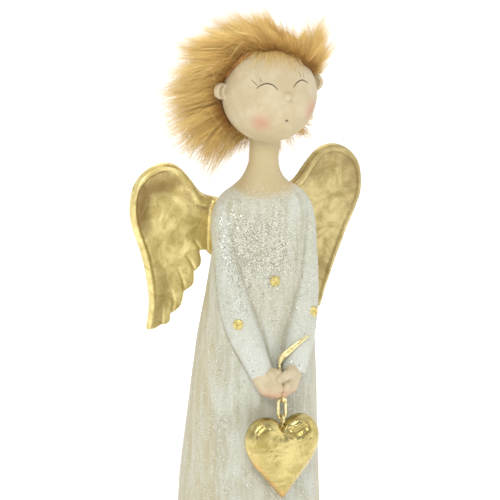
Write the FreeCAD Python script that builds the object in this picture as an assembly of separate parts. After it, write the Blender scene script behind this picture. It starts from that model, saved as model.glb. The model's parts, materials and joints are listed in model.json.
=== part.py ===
"""Standing angel figurine in cast resin, with gilded wings, a fur wig and a heart hung from its clasped hands.

Millimetres, +Z up, the figure faces -Y. The origin is the centre of the base, on the face that it stands on.
The skirt is a hollow casting, solid from the chest up. Head, sleeves, hands and wings are castings of their
own, glued and pinned to it. The heart hangs on an oval link, and the link hangs in the eye of a gilded wire
that is gripped between the hands.
"""

import FreeCAD, Part

import math
import os

V = FreeCAD.Vector

# ---------------------------------------------------------------- driving dimensions
FELT_THICKNESS = 1.5
WALL = 4.0  # wall of the hollow skirt
GLUE_GAP = 0.15  # all round a piece that is glued into a recess
CAVITY_TOP = 196.0

NECK_Y = -18.5  # the neck stands forward of the base's centre, because the skirt spreads backwards
NECKLINE_Z = 250.5  # where the painted skin meets the robe
HEAD_RADIUS = 25.0
HEAD = V(0, -28.0, 304.5)

DOWEL_RADIUS = 2.5
DOWEL_BOTTOM = 226.0
DOWEL_TOP = 292.0

NOSE_RADIUS = 2.6
NOSE_LATITUDE = 7.0  # degrees up from the middle of the head
NOSE_SINK = 0.1  # how far inside the head's surface its middle is
EAR_RADIUS = 5.9
EAR_THICKNESS = 4.4
EAR_ROUNDING = 1.9
EAR_DIMPLE_RADIUS = 3.0
EAR = V(26.2, 1.6, 5.0)  # middle of the left ear, from the middle of the head
BORE_PLAY = 0.1  # radial play of the dowel in its bores

CAP_THICKNESS = 1.4
FUR_HALF_SIZES = V(42.0, 34.0, 40.0)
FUR_CENTRE = HEAD + V(-4.0, 15.0, 1.0)  # the fur is combed over to the figure's right
CROWN_HALF_SIZES = V(24.0, 20.0, 30.5)  # the fur that stands up over the crown
CROWN_CENTRE = HEAD + V(-3.0, 4.0, 14.0)
HAIRLINE_BACK = 5.4  # how far behind the middle of the head the hairline's plane passes
HAIRLINE_LEAN = 24.0  # degrees that the plane leans back towards the nape
NAPE_ROOM_RADIUS = 10.2  # round the neck

WING_THICKNESS = 4.0
WING_PIN_RADIUS = 1.5
WING_PIN_X = 12.5
WING_PIN_Z = (215.0, 232.0)
WING_PIN_LENGTH = 18.0
WING_PIN_FOOT_Y = -12.0
WING_PIN_PLAY = 0.05
WING_ROOT = V(12.0, 18.0, 28.0)  # block behind the back that carries the pins
WING_ROOT_CORNER = V(7.0, -10.0, 209.0)
LEFT_WING_LIFT = V(2.3, 0.0, 2.5)  # the left wing is set a little higher and farther out than the right one

HANG_Y = -46.8  # the heart and its link hang in this plane, clear of the skirt
LINK_WIRE = 0.75  # wire radii
EYE_WIRE = 0.7
EYE_RADIUS = 2.2  # to the middle of the wire, for the eye on the hanger and for the one on the heart
EYE_PLAY = 0.35  # how far an eye's centre is from the wire that runs through it
LINK_TOP = 143.3  # height of the link's wire in the hanger's eye
LINK_BOTTOM = 132.1  # height of the link's wire in the heart's eye
LINK_BEND = 2.1  # radius of both ends of the link

HEART_HALF_THICKNESS = 7.5
HEART_MIDDLE_Z = 113.0
# Right half of the heart's outline, as X and Z, from the notch between the lobes to the tip.
HEART_OUTLINE = (
    (0.0, 127.4),
    (3.6, 131.6),
    (9.6, 133.8),
    (16.4, 131.6),
    (20.6, 125.0),
    (20.6, 116.6),
    (16.4, 107.6),
    (8.6, 97.8),
    (0.0, 87.2),
)
HEART_STEPS = (0.0, 0.3, 0.55, 0.76, 0.9, 0.975)  # share of the half thickness of each section

DOT_RADIUS = 2.8
DOT_PROUD = 0.5
DOT_DEPTH = 2.0  # how far a dot's disc reaches in below the surface before it's trimmed to it
# For each dot, a place outside the figure and one inside: the dot sits where the line between them goes in.
CHEST_DOT = (V(0, -70, 205.4), V(0, -20, 205.4))
RIGHT_SLEEVE_DOT = (V(-34, -58, 185.6), V(-17.0, -31.0, 183.6))
LEFT_SLEEVE_DOT = (V(38, -66, 187.6), V(17.6, -29.5, 186.6))

# Height, half width, half depth and Y of the middle of the robe, from the hem to the neck.
ROBE_SECTIONS = (
    (FELT_THICKNESS, 43.0, 40.5, 0.0),
    (30.0, 41.2, 39.3, 0.3),
    (77.5, 39.0, 38.0, 0.6),
    (120.0, 36.3, 33.4, -3.8),
    (166.0, 32.9, 27.4, -9.6),
    (199.0, 28.8, 22.8, -14.0),
    (226.0, 26.2, 19.4, -17.2),
    (239.0, 26.4, 17.8, -18.2),
    (246.5, 25.0, 15.9, NECK_Y),
    (250.5, 21.6, 14.0, NECK_Y),
    (253.5, 16.8, 12.0, NECK_Y - 0.1),
    (257.0, 12.5, 10.4, NECK_Y - 0.4),
    (262.0, 9.4, 9.0, NECK_Y - 1.1),
    (269.0, 7.8, 7.9, NECK_Y - 2.4),
    (284.0, 8.4, 8.4, NECK_Y - 4.4),
)
SHOULDERS_Z = 226.0
SKIRT_STEP = 12.0  # greatest height between two sections that the robe is drawn through, below the shoulders
SHOULDER_STEP = 3.5  # and above them

# Middle of the right sleeve from shoulder to cuff, with its half width across and its half depth.
SLEEVE_SECTIONS = (
    (V(-17.5, -18.5, 246.5), 5.6, 6.0),
    (V(-21.8, -19.2, 238.0), 6.8, 7.6),
    (V(-22.8, -21.5, 226.0), 6.6, 7.6),
    (V(-22.1, -25.6, 210.0), 6.6, 7.6),
    (V(-19.2, -29.0, 191.0), 8.4, 8.8),
    (V(-14.6, -35.2, 172.5), 8.2, 7.8),
    (V(-8.6, -41.0, 155.0), 6.4, 6.2),
)
WRIST_DEPTH = 5.0
WRIST_RADIUS = 4.2
WRIST_OUTSIDE = 3.0  # how far the wrist goes on past the cuff, inside the palm

# Rounded masses of the right hand: middle, half sizes, and lean about the Y axis in degrees.
PALM = (V(-6.4, -42.1, 151.0), V(6.2, 5.2, 8.4), -24.0)
FINGERS = (V(-3.6, -44.6, 147.0), V(5.2, 4.6, 6.6), -14.0)
THUMB = (V(-3.4, -48.4, 153.4), V(2.1, 2.2, 5.2), -30.0)
HAND_PARTING = 0.05  # half the gap between the two hands
LINK_ROOM_RADIUS = 3.3  # hollow between the hands for the wire's eye and the link
LINK_ROOM_REACH = 5.2

# Front outline of the figure's left wing, as X and Z, starting at the top of the root and going outwards.
WING_OUTLINE = (
    (7.0, 240.0),
    (17.0, 243.2),
    (25.5, 246.6),
    (32.0, 254.8),
    (38.6, 262.0),
    (45.6, 264.8),
    (52.6, 263.6),
    (59.6, 259.2),
    (64.4, 252.0),
    (66.0, 241.0),
    (64.4, 230.6),
    (58.6, 214.5),
    (54.2, 198.0),
    (51.4, 183.0),
    (50.6, 168.6),
)
# The trailing edge back to the root, from the wing's tip: round feather ends with a notch between each two.
WING_FEATHERS = (
    (47.8, 166.8),
    (45.0, 167.2),
    (42.4, 169.2),
    (39.2, 169.4),
    (37.7, 171.8),
    (37.7, 175.7),
    (33.8, 179.2),
    (32.6, 182.4),
    (31.7, 189.6),
    (28.4, 191.8),
    (26.8, 194.9),
    (27.1, 200.8),
    (24.6, 203.6),
    (23.7, 206.8),
    (24.9, 213.1),
    (7.0, 213.9),
)
# How far back the wings' front face stands at a few heights: they sweep back towards their tips.
WING_SWEEP = ((164.0, 24.6), (185.0, 15.0), (207.0, 8.6), (235.0, 4.2), (266.0, 2.4))

STEM_FOOT = V(0, HANG_Y, LINK_TOP + EYE_PLAY + EYE_RADIUS)
STEM_TOP = V(0, -42.9, 161.0)  # the stem is straight between the hands and leans back a little
# The wire's tail, from above the hands to its free end over the left sleeve.
TAIL_POINTS = (
    V(1.3, -42.6, 164.7),
    V(4.2, -43.4, 167.7),
    V(9.3, -44.5, 171.9),
    V(16.6, -44.9, 176.2),
)
STEM_WIRE = 0.85
STEM_PLAY = 0.1  # radial play of the stem in the groove between the hands
SHANK_LENGTH = 10.0


# ---------------------------------------------------------------- small tools
def closed_curve(points):
    curve = Part.BSplineCurve()
    curve.interpolate(Points=points, PeriodicFlag=True)
    return Part.Wire([curve.toShape()])


def open_curve(points):
    curve = Part.BSplineCurve()
    curve.interpolate(Points=points)
    return curve.toShape()


def loft(wires):
    return Part.makeLoft(wires, True, False)


def ellipsoid(centre, half_sizes, lean_degrees=0.0):
    """An ellipsoid with its half sizes along X, Y and Z, leaned about the Y axis through its centre."""
    matrix = FreeCAD.Matrix()
    matrix.scale(half_sizes)
    shape = Part.makeSphere(1.0).transformGeometry(matrix)
    shape.rotate(V(0, 0, 0), V(0, 1, 0), lean_degrees)
    shape.translate(centre)
    return shape


def mirrored(shape):
    return shape.mirror(V(0, 0, 0), V(1, 0, 0))


def only_solid(shape):
    """The largest solid of a boolean's result."""
    return max(shape.Solids, key=lambda s: s.Volume)


def save(name, *solids):
    shape = solids[0] if len(solids) == 1 else Part.makeCompound(solids)
    for solid in shape.Solids:
        assert solid.isValid() and solid.Volume > 0, name
    print(f"{name}: {len(shape.Solids)} solid(s), {shape.Volume:.0f} mm3")
    shape.exportStep("parts/" + name + ".step")


# ---------------------------------------------------------------- robe
def robe_wire(section, inset=0.0, z=None):
    """One closed section of the robe, inset by a wall."""
    height, half_width, half_depth, middle_y = section
    steps = 24
    points = []
    for i in range(steps):
        angle = 2 * math.pi * i / steps
        x = (half_width - inset) * math.cos(angle)
        y = middle_y + (half_depth - inset) * math.sin(angle)
        points.append(V(x, y, height if z is None else z))
    return closed_curve(points)


def robe_section(z):
    """The robe's section at any height, on smooth curves through the listed ones."""
    heights = [s[0] for s in ROBE_SECTIONS]
    i = max(k for k in range(len(heights) - 1) if heights[k] <= z)
    span = heights[i + 1] - heights[i]
    t = (z - heights[i]) / span

    def slope(k, column):
        low, high = ROBE_SECTIONS[max(k - 1, 0)], ROBE_SECTIONS[min(k + 1, len(heights) - 1)]
        return (high[column] - low[column]) / (high[0] - low[0])

    def value(column):
        start, end = ROBE_SECTIONS[i][column], ROBE_SECTIONS[i + 1][column]
        leave, arrive = slope(i, column) * span, slope(i + 1, column) * span
        bend = t * (1 - t) * ((1 - t) * (leave - end + start) - t * (arrive - end + start))
        return start + (end - start) * t + bend

    return (z, value(1), value(2), value(3))


def heights_between(low, high, step):
    count = math.ceil((high - low) / step)
    return [low + (high - low) * k / count for k in range(count)]


def figure_column():
    """Robe, shoulders and neck in one smooth solid, which the neckline later divides."""
    top = ROBE_SECTIONS[-1][0]
    heights = heights_between(FELT_THICKNESS, SHOULDERS_Z, SKIRT_STEP)
    heights += heights_between(SHOULDERS_Z, top, SHOULDER_STEP)
    return loft([robe_wire(robe_section(z)) for z in heights] + [robe_wire(ROBE_SECTIONS[-1])])


def skirt_cavity():
    heights = heights_between(FELT_THICKNESS, CAVITY_TOP, 2 * SKIRT_STEP) + [CAVITY_TOP]
    below = robe_wire(robe_section(FELT_THICKNESS), inset=WALL, z=FELT_THICKNESS - 1.0)
    return loft([below] + [robe_wire(robe_section(z), inset=WALL) for z in heights[1:]])


def bottom_plate():
    thickness = 4.0
    outline = robe_wire(robe_section(FELT_THICKNESS + thickness), WALL + GLUE_GAP, FELT_THICKNESS)
    return Part.Face(outline).extrude(V(0, 0, thickness))


def felt_pad():
    margin = 1.2
    outline = robe_wire(ROBE_SECTIONS[0], inset=margin, z=0.0)
    return Part.Face(outline).extrude(V(0, 0, FELT_THICKNESS))


def above_neckline():
    reach = 60.0
    return Part.makeBox(2 * reach, 2 * reach, 200.0, V(-reach, NECK_Y - reach, NECKLINE_Z))


# ---------------------------------------------------------------- head
def ear(side, extra=0.0):
    """A round ear with a dimple in its front, or its room in the wig with some extra size."""
    radius = EAR_RADIUS + extra
    thickness = EAR_THICKNESS + 2 * extra
    middle = HEAD + V(side * EAR.x, EAR.y, EAR.z)
    disc = Part.makeCylinder(radius, thickness, middle - V(0, thickness / 2, 0), V(0, 1, 0))
    disc = disc.makeFillet(EAR_ROUNDING, [e for e in disc.Edges if isinstance(e.Curve, Part.Circle)])
    dimple = Part.makeSphere(EAR_DIMPLE_RADIUS, middle + V(side * 1.4, -thickness / 2 - 1.7, 0))
    return disc.cut(dimple)


def nose():
    latitude = math.radians(NOSE_LATITUDE)
    way = V(0, -math.cos(latitude), math.sin(latitude))
    return Part.makeSphere(NOSE_RADIUS, HEAD + way * (HEAD_RADIUS - NOSE_SINK), way)


def dowel(extra=0.0):
    """The peg up the leaning neck that pins the head on, or its bore with some extra radius."""
    foot = V(0, NECK_Y, DOWEL_BOTTOM - extra)
    top = V(0, NECK_Y - 3.6, DOWEL_TOP + extra)
    return Part.makeCylinder(DOWEL_RADIUS + extra, (top - foot).Length, foot, top - foot)


def head_casting(column):
    shape = Part.makeSphere(HEAD_RADIUS, HEAD)
    shape.rotate(HEAD, V(0, 0, 1), 90)
    shape = shape.fuse(column.common(above_neckline()))
    for piece in (ear(1), ear(-1), nose()):
        shape = shape.fuse(piece)
    return only_solid(shape.cut(dowel(BORE_PLAY)).removeSplitter())


# ---------------------------------------------------------------- wig
def behind_hairline(offset=0.0):
    """The space behind the hairline, which runs from just before the crown, behind the ears, to the nape."""
    size = 160.0
    box = Part.makeBox(size, size, size, V(-size / 2, 0, -size / 2))
    box.rotate(V(0, 0, 0), V(1, 0, 0), HAIRLINE_LEAN)
    box.translate(HEAD + V(0, HAIRLINE_BACK + offset, 0))
    return box


def wig_cap():
    inner = HEAD_RADIUS + GLUE_GAP
    shell = Part.makeSphere(inner + CAP_THICKNESS, HEAD).cut(Part.makeSphere(inner, HEAD))
    return only_solid(shell.common(behind_hairline()).cut(ear(1, GLUE_GAP)).cut(ear(-1, GLUE_GAP)))


def fur_pile(column, cap_radius):
    """The space that the fur fills, all round the back of the head."""
    ball = ellipsoid(FUR_CENTRE, FUR_HALF_SIZES)
    crown = ellipsoid(CROWN_CENTRE, CROWN_HALF_SIZES)
    shape = ball.fuse(crown).common(behind_hairline(-3.0))
    shape = shape.cut(Part.makeSphere(cap_radius + GLUE_GAP, HEAD))
    neck_room = Part.makeCylinder(NAPE_ROOM_RADIUS, 40.0, V(0, NECK_Y - 1.0, NECKLINE_Z), V(0, -0.12, 1.0))
    for piece in (neck_room, ear(1), ear(-1)):
        shape = shape.cut(piece)
    return only_solid(shape)


# ---------------------------------------------------------------- sleeves and hands
def sleeve_axis(i):
    """The direction of the sleeve's middle line at one of its sections."""
    last = len(SLEEVE_SECTIONS) - 1
    before, after = SLEEVE_SECTIONS[max(i - 1, 0)][0], SLEEVE_SECTIONS[min(i + 1, last)][0]
    return (after - before).normalize()


def sleeve_wire(i):
    middle, half_width, half_depth = SLEEVE_SECTIONS[i]
    along = sleeve_axis(i)
    depth_way = along.cross(V(1, 0, 0)).normalize()
    width_way = depth_way.cross(along).normalize()
    steps = 20
    points = []
    for k in range(steps):
        angle = 2 * math.pi * k / steps
        points.append(
            middle
            + width_way * (half_width * math.cos(angle))
            + depth_way * (half_depth * math.sin(angle))
        )
    return closed_curve(points)


def cuff():
    """Middle and direction of the cuff's opening."""
    return SLEEVE_SECTIONS[-1][0], sleeve_axis(len(SLEEVE_SECTIONS) - 1)


def wrist(extra=0.0):
    middle, way = cuff()
    start = middle - way * (WRIST_DEPTH + extra)
    return Part.makeCylinder(WRIST_RADIUS + extra, WRIST_DEPTH + extra + WRIST_OUTSIDE, start, way)


def right_sleeve(column):
    tube = loft([sleeve_wire(i) for i in range(len(SLEEVE_SECTIONS))])
    return only_solid(tube.cut(column).cut(wrist(GLUE_GAP)).cut(above_neckline()))


def right_hand(column, sleeve):
    """A closed hand, fingers down: its wrist is glued into the cuff, its inner side meets the other hand."""
    shape = wrist()
    for mass in (PALM, FINGERS, THUMB):
        shape = shape.fuse(ellipsoid(*mass))
    other_side = Part.makeBox(40, 60, 60, V(-HAND_PARTING, -80, 120))
    room_start = V(-LINK_ROOM_REACH, HANG_Y, LINK_TOP)
    link_room = Part.makeCylinder(LINK_ROOM_RADIUS, 2 * LINK_ROOM_REACH, room_start, V(1, 0, 0))
    for piece in (other_side, link_room, stem_groove(), column, sleeve):
        shape = shape.cut(piece)
    return only_solid(shape)


# ---------------------------------------------------------------- wings
def wing_slab(thickness, near_x, far_x):
    """A plate that curves back towards its foot, between two distances from the middle."""
    front = [V(near_x, y, z) for z, y in WING_SWEEP]
    back = [p + V(0, thickness, 0) for p in front]
    edges = [
        open_curve(front),
        Part.makeLine(front[-1], back[-1]),
        open_curve(back),
        Part.makeLine(back[0], front[0]),
    ]
    return Part.Face(Part.Wire(Part.__sortEdges__(edges))).extrude(V(far_x - near_x, 0, 0))


def wing(column, lift):
    """A wing on the figure's left side, moved by a lift from the place where both wings would match."""
    flat = -80.0
    leading = open_curve([V(x, flat, z) for x, z in WING_OUTLINE[1:]])
    corners = [WING_OUTLINE[-1], *WING_FEATHERS, WING_OUTLINE[0], WING_OUTLINE[1]]
    trailing = [
        Part.makeLine(V(a[0], flat, a[1]), V(b[0], flat, b[1])) for a, b in zip(corners, corners[1:])
    ]
    outline = Part.Face(Part.Wire(Part.__sortEdges__([leading, *trailing])))
    plate = outline.extrude(V(0, 160, 0)).common(wing_slab(WING_THICKNESS, 0.0, 80.0))
    root = Part.makeBox(WING_ROOT.x, WING_ROOT.y, WING_ROOT.z, WING_ROOT_CORNER)
    root = root.cut(wing_slab(40.0, 0.0, 80.0))
    shape = plate.fuse(root)
    shape.translate(lift)
    for piece in (column, *wing_pins(lift, WING_PIN_PLAY)):
        shape = shape.cut(piece)
    return only_solid(shape)


def wing_pins(lift, extra=0.0):
    """The pins of a wing on the left side, or their bores with some extra radius."""
    length = WING_PIN_LENGTH + 2 * extra
    feet = [V(WING_PIN_X, WING_PIN_FOOT_Y - extra, z) + lift for z in WING_PIN_Z]
    return [Part.makeCylinder(WING_PIN_RADIUS + extra, length, foot, V(0, 1, 0)) for foot in feet]


# ---------------------------------------------------------------- dots on the robe
def dot(target, outside, inside):
    """A thin gilded disc on the first surface that the line from outside to inside meets."""
    met = Part.makeLine(outside, inside).common(target)
    point = min((v.Point for v in met.Vertexes), key=lambda p: (p - outside).Length)
    way = (outside - inside).normalize()
    disc = Part.makeCylinder(DOT_RADIUS, DOT_DEPTH + DOT_PROUD, point - way * DOT_DEPTH, way)
    return only_solid(disc.cut(target))


# ---------------------------------------------------------------- heart and what it hangs from
def round_bar(path, radius, start, way):
    """A round bar along a path of lines and arcs."""
    ring = Part.Wire([Part.makeCircle(radius, start, way)])
    return Part.Wire(path).makePipeShell([ring], True, False)


def hanging_link():
    """An oval of round wire that faces forwards."""
    low, high = LINK_BOTTOM + LINK_BEND, LINK_TOP - LINK_BEND
    right_low, right_high = V(LINK_BEND, HANG_Y, low), V(LINK_BEND, HANG_Y, high)
    left_low, left_high = V(-LINK_BEND, HANG_Y, low), V(-LINK_BEND, HANG_Y, high)
    top, bottom = V(0, HANG_Y, LINK_TOP), V(0, HANG_Y, LINK_BOTTOM)
    path = [
        Part.makeLine(right_low, right_high),
        Part.Arc(right_high, top, left_high).toShape(),
        Part.makeLine(left_high, left_low),
        Part.Arc(left_low, bottom, right_low).toShape(),
    ]
    return only_solid(round_bar(path, LINK_WIRE, right_low, V(0, 0, 1)))


def hanger_wire():
    """An eye below the hands, a stem between them, and a tail that ends free over the left sleeve."""
    eye_middle = V(0, HANG_Y, LINK_TOP + EYE_PLAY)
    eye = Part.makeTorus(EYE_RADIUS, EYE_WIRE, eye_middle, V(1, 0, 0))
    leave = (STEM_TOP - STEM_FOOT).normalize()
    arrive = (TAIL_POINTS[-1] - TAIL_POINTS[-2]).normalize()
    tail = Part.BSplineCurve()
    tail.interpolate(Points=[STEM_TOP, *TAIL_POINTS], InitialTangent=leave, FinalTangent=arrive)
    bar = round_bar([Part.makeLine(STEM_FOOT, STEM_TOP), tail.toShape()], STEM_WIRE, STEM_FOOT, leave)
    return only_solid(bar.fuse(eye))


def stem_groove():
    """Room for the stem between the hands."""
    way = STEM_TOP - STEM_FOOT
    return Part.makeCylinder(STEM_WIRE + STEM_PLAY, way.Length + 6.0, STEM_FOOT - V(0, 0, 0.5), way)


def heart_eyelet():
    middle = V(0, HANG_Y, LINK_BOTTOM - EYE_PLAY)
    eye = Part.makeTorus(EYE_RADIUS, EYE_WIRE, middle, V(1, 0, 0))
    foot = middle - V(0, 0, EYE_RADIUS + SHANK_LENGTH)
    shank = Part.makeCylinder(EYE_WIRE, SHANK_LENGTH, foot, V(0, 0, 1))
    return only_solid(eye.fuse(shank))


def heart_wire(share):
    """The heart's outline at a share of its half thickness: it draws in as an ellipse does."""
    size = math.sqrt(1.0 - share * share)
    y = HANG_Y - HEART_HALF_THICKNESS * share
    right = [V(x * size, y, HEART_MIDDLE_Z + (z - HEART_MIDDLE_Z) * size) for x, z in HEART_OUTLINE]
    left = [V(-p.x, p.y, p.z) for p in reversed(right)]
    return Part.Wire([open_curve(right), open_curve(left)])


def heart_pendant(eyelet):
    """A puffed heart, creased from the notch between its lobes towards its middle."""
    front = loft([heart_wire(share) for share in HEART_STEPS])
    back = front.mirror(V(0, HANG_Y, 0), V(0, 1, 0))
    return only_solid(front.fuse(back).cut(eyelet))


# ---------------------------------------------------------------- the whole figure
def build():
    os.makedirs("parts", exist_ok=True)
    column = figure_column()
    even = V(0, 0, 0)

    robe = column.cut(above_neckline()).cut(skirt_cavity()).cut(dowel(BORE_PLAY))
    right_bores = [mirrored(bore) for bore in wing_pins(even, WING_PIN_PLAY)]
    for bore in (*right_bores, *wing_pins(LEFT_WING_LIFT, WING_PIN_PLAY)):
        robe = robe.cut(bore)
    save("robe_casting", only_solid(robe))
    save("bottom_plate", bottom_plate())
    save("felt_pad", felt_pad())

    save("head_casting", head_casting(column))
    save("neck_dowel", dowel())
    cap = wig_cap()
    save("wig_cap", cap)
    save("fur_wig", fur_pile(column, HEAD_RADIUS + GLUE_GAP + CAP_THICKNESS))

    sleeve = right_sleeve(column)
    save("right_sleeve", sleeve)
    save("left_sleeve", mirrored(sleeve))
    hand = right_hand(column, sleeve)
    save("right_hand", hand)
    save("left_hand", mirrored(hand))

    save("left_wing", wing(column, LEFT_WING_LIFT))
    save("right_wing", mirrored(wing(column, even)))
    save("left_wing_pins", *wing_pins(LEFT_WING_LIFT))
    save("right_wing_pins", *[mirrored(pin) for pin in wing_pins(even)])

    save("chest_dot", dot(column, *CHEST_DOT))
    save("right_sleeve_dot", dot(sleeve, *RIGHT_SLEEVE_DOT))
    save("left_sleeve_dot", dot(mirrored(sleeve), *LEFT_SLEEVE_DOT))

    save("hanger_wire", hanger_wire())
    save("hanging_link", hanging_link())
    eyelet = heart_eyelet()
    save("heart_eyelet", eyelet)
    save("heart_pendant", heart_pendant(eyelet))


build()
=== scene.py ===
"""Looks of the angel figurine: glitter paint, gold leaf, a painted face and loose fur on the CAD frame.

Shapes are worked out in millimetres in the frame's own axes and become metres where a mesh is made.
"""

import json
import math

import bpy
import numpy as np
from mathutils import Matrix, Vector, noise
from mathutils.bvhtree import BVHTree
from mathutils.geometry import delaunay_2d_cdt


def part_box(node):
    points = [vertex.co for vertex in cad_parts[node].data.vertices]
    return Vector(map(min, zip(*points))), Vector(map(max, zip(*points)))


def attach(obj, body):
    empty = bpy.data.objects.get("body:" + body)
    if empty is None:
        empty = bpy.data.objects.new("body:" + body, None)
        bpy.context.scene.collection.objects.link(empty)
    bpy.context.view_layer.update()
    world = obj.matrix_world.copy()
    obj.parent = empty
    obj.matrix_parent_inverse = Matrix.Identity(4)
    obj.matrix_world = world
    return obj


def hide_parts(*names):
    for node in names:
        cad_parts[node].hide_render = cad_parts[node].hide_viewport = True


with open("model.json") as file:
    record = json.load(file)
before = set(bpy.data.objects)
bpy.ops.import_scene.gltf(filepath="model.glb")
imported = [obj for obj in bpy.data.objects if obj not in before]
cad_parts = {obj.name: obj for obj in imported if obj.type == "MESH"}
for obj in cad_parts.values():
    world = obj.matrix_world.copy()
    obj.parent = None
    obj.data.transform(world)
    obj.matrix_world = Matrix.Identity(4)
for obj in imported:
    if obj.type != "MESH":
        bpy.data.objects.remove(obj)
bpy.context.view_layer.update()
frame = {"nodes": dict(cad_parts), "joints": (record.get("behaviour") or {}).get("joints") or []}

MM = 0.001
random = np.random.default_rng(11)

# ---------------------------------------------------------------- colours, from 0 to 255 as they are seen
ROBE_LIGHT = (187, 186, 169)
ROBE_SHADE = (171, 168, 145)
SILVER_WHITE = (193, 196, 185)
# Rubbed gold, also used for the warm painted shade down the robe's sides.
RUBBED_GOLD_AND_SIDE_SHADE = (180, 166, 122)
# Painted shade for the hollows between the robe's folds.
CREASE_SHADE = (146, 138, 113)
DARK_GLITTER = (108, 104, 88)
BRIGHT_GLITTER = (240, 240, 234)
SKIN = (195, 181, 150)
SKIN_SHADE = (185, 168, 134)
# Painted shade for the lower face and neck.
LOWER_FACE_SHADE = (181, 164, 122)
BLUSH = (184, 130, 102)
HAND_PINK = (190, 146, 116)
FUR_ROOT = (128, 72, 32)
FUR_LOW = (208, 162, 86)
FUR_MIDDLE = (250, 220, 142)
FUR_HIGH = (248, 224, 154)
FUR_TIP = (242, 220, 168)
# Gold leaf: bright, deep, and the ground that shows where it's rubbed.
RIGHT_WING_GOLD = (246, 230, 164), (196, 176, 112), (146, 114, 74)
# The left wing's leaf in darker tones than the right wing's: painted shade on the left wing.
LEFT_WING_GOLD_SHADED = (210, 194, 140), (166, 149, 98), (150, 124, 86)
HEART_GOLD = (212, 196, 134), (164, 147, 84), (228, 172, 96)
LEAF_PIT = (116, 92, 50)
# Painted shade on the leaf.
LEAF_SHADE = (128, 100, 56)
WIRE_GOLD = (240, 228, 176), (206, 186, 124)
DAB_GOLD = (224, 208, 140), (170, 152, 78)
EYE_PAINT = (84, 70, 44), (112, 94, 60)
MOUTH_PAINT = (104, 90, 66), (128, 108, 80)
FELT = (120, 112, 96), (168, 160, 140)
RESIN = (206, 202, 190), (190, 184, 170)
STEEL = (180, 180, 178), (205, 205, 202)
WIG_CLOTH = (178, 126, 66), (144, 94, 46)

# ---------------------------------------------------------------- places, in millimetres
HEAD_R = 25.0
HEAD = np.array([0.0, -28.0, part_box("head_casting")[1].z / MM - HEAD_R])
NECKLINE_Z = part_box("robe_casting")[1].z / MM
HEM_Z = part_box("robe_casting")[0].z / MM
LINK_PIVOT = np.array(frame["joints"][0]["pos_m"]) / MM
HANG_Y = LINK_PIVOT[1]
AXIS_Y = -16.0  # a vertical line through here stays inside the robe, shoulders and neck

BODY = "figurine"
HEART = "heart"
# Glitter crowds on the chest, on the right hip, and along the right sleeve from a place in a direction.
CHEST_GLITTER = (-8.0, -36.0, 222.0)
HIP_GLITTER = (-27.0, -26.0, 127.0)
SLEEVE_GLITTER = (-27.0, -36.0, 224.0)
SLEEVE_WAY = (0.26, -0.17, -0.95)


# ---------------------------------------------------------------- meshes
def mesh_of(name, verts, faces):
    """A mesh from vertices in millimetres."""
    mesh = bpy.data.meshes.new(name)
    mesh.from_pydata([tuple(v) for v in np.asarray(verts) * MM], [], faces)
    return mesh


def piece(name, verts, faces, material, **facts):
    """A mesh object from vertices in millimetres that rides on a body."""
    return finish_piece(name, mesh_of(name, verts, faces), material, **facts)


def finish_piece(name, mesh, material, slot, body=BODY, replaces=()):
    """Puts a mesh in the scene as a smooth piece that rides on a body and takes the place of CAD nodes."""
    mesh.validate()
    mesh.polygons.foreach_set("use_smooth", [True] * len(mesh.polygons))
    mesh.materials.clear()
    mesh.materials.append(material)
    obj = bpy.data.objects.new(name, mesh)
    bpy.context.scene.collection.objects.link(obj)
    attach(obj, body)
    if replaces:
        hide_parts(*replaces)
    return obj


def joined(*parts):
    """One list of vertices and one of faces from several."""
    verts, faces, start = [], [], 0
    for part_verts, part_faces in parts:
        verts.append(np.asarray(part_verts, float))
        faces += [tuple(i + start for i in f) for f in part_faces]
        start += len(part_verts)
    return np.concatenate(verts), faces


def cad_arrays(node):
    """A CAD node's vertices in millimetres, and its faces."""
    mesh = frame["nodes"][node].data
    verts = np.array([v.co for v in mesh.vertices]) / MM
    return verts, [tuple(p.vertices) for p in mesh.polygons]


def remeshed(name, parts, voxel, smoothing):
    """The closed outer skin of all the parts together, with its creases eased."""
    rough = bpy.data.objects.new(name + "_rough", mesh_of(name + "_rough", *joined(*parts)))
    bpy.context.scene.collection.objects.link(rough)
    remesh = rough.modifiers.new("remesh", "REMESH")
    remesh.mode = "VOXEL"
    remesh.voxel_size = voxel * MM
    smooth = rough.modifiers.new("smooth", "SMOOTH")
    smooth.factor = 0.5
    smooth.iterations = smoothing
    bpy.context.view_layer.update()
    result = bpy.data.meshes.new_from_object(rough.evaluated_get(bpy.context.evaluated_depsgraph_get()))
    bpy.data.objects.remove(rough)
    result.name = name
    return result


def at_vertices(mesh, what):
    flat = np.zeros(len(mesh.vertices) * 3, np.float32)
    mesh.vertices.foreach_get(what, flat)
    return flat.reshape(-1, 3).astype(float)


def coordinates(mesh):
    """A mesh's vertices in millimetres."""
    return at_vertices(mesh, "co") / MM


def set_coordinates(mesh, verts):
    """Moves a mesh's vertices to places in millimetres."""
    mesh.vertices.foreach_set("co", (np.asarray(verts) * MM).astype(np.float32).ravel())
    mesh.update()


def surface_tree(verts, faces):
    return BVHTree.FromPolygons([Vector(v) for v in verts], faces)


def unevenness(verts, size, octaves=3, shift=0.0):
    """Smooth noise between about -1 and 1 at each vertex, with lumps of a size in millimetres."""
    places = np.asarray(verts) / np.asarray(size, float) + shift
    return np.array([noise.fractal(Vector(p), 0.7, 2.0, octaves) for p in places])


def smoothstep(value, low, high):
    """From 0 at low to 1 at high, with soft ends."""
    t = np.clip((np.asarray(value, float) - low) / (high - low), 0.0, 1.0)
    return t * t * (3.0 - 2.0 * t)


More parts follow.
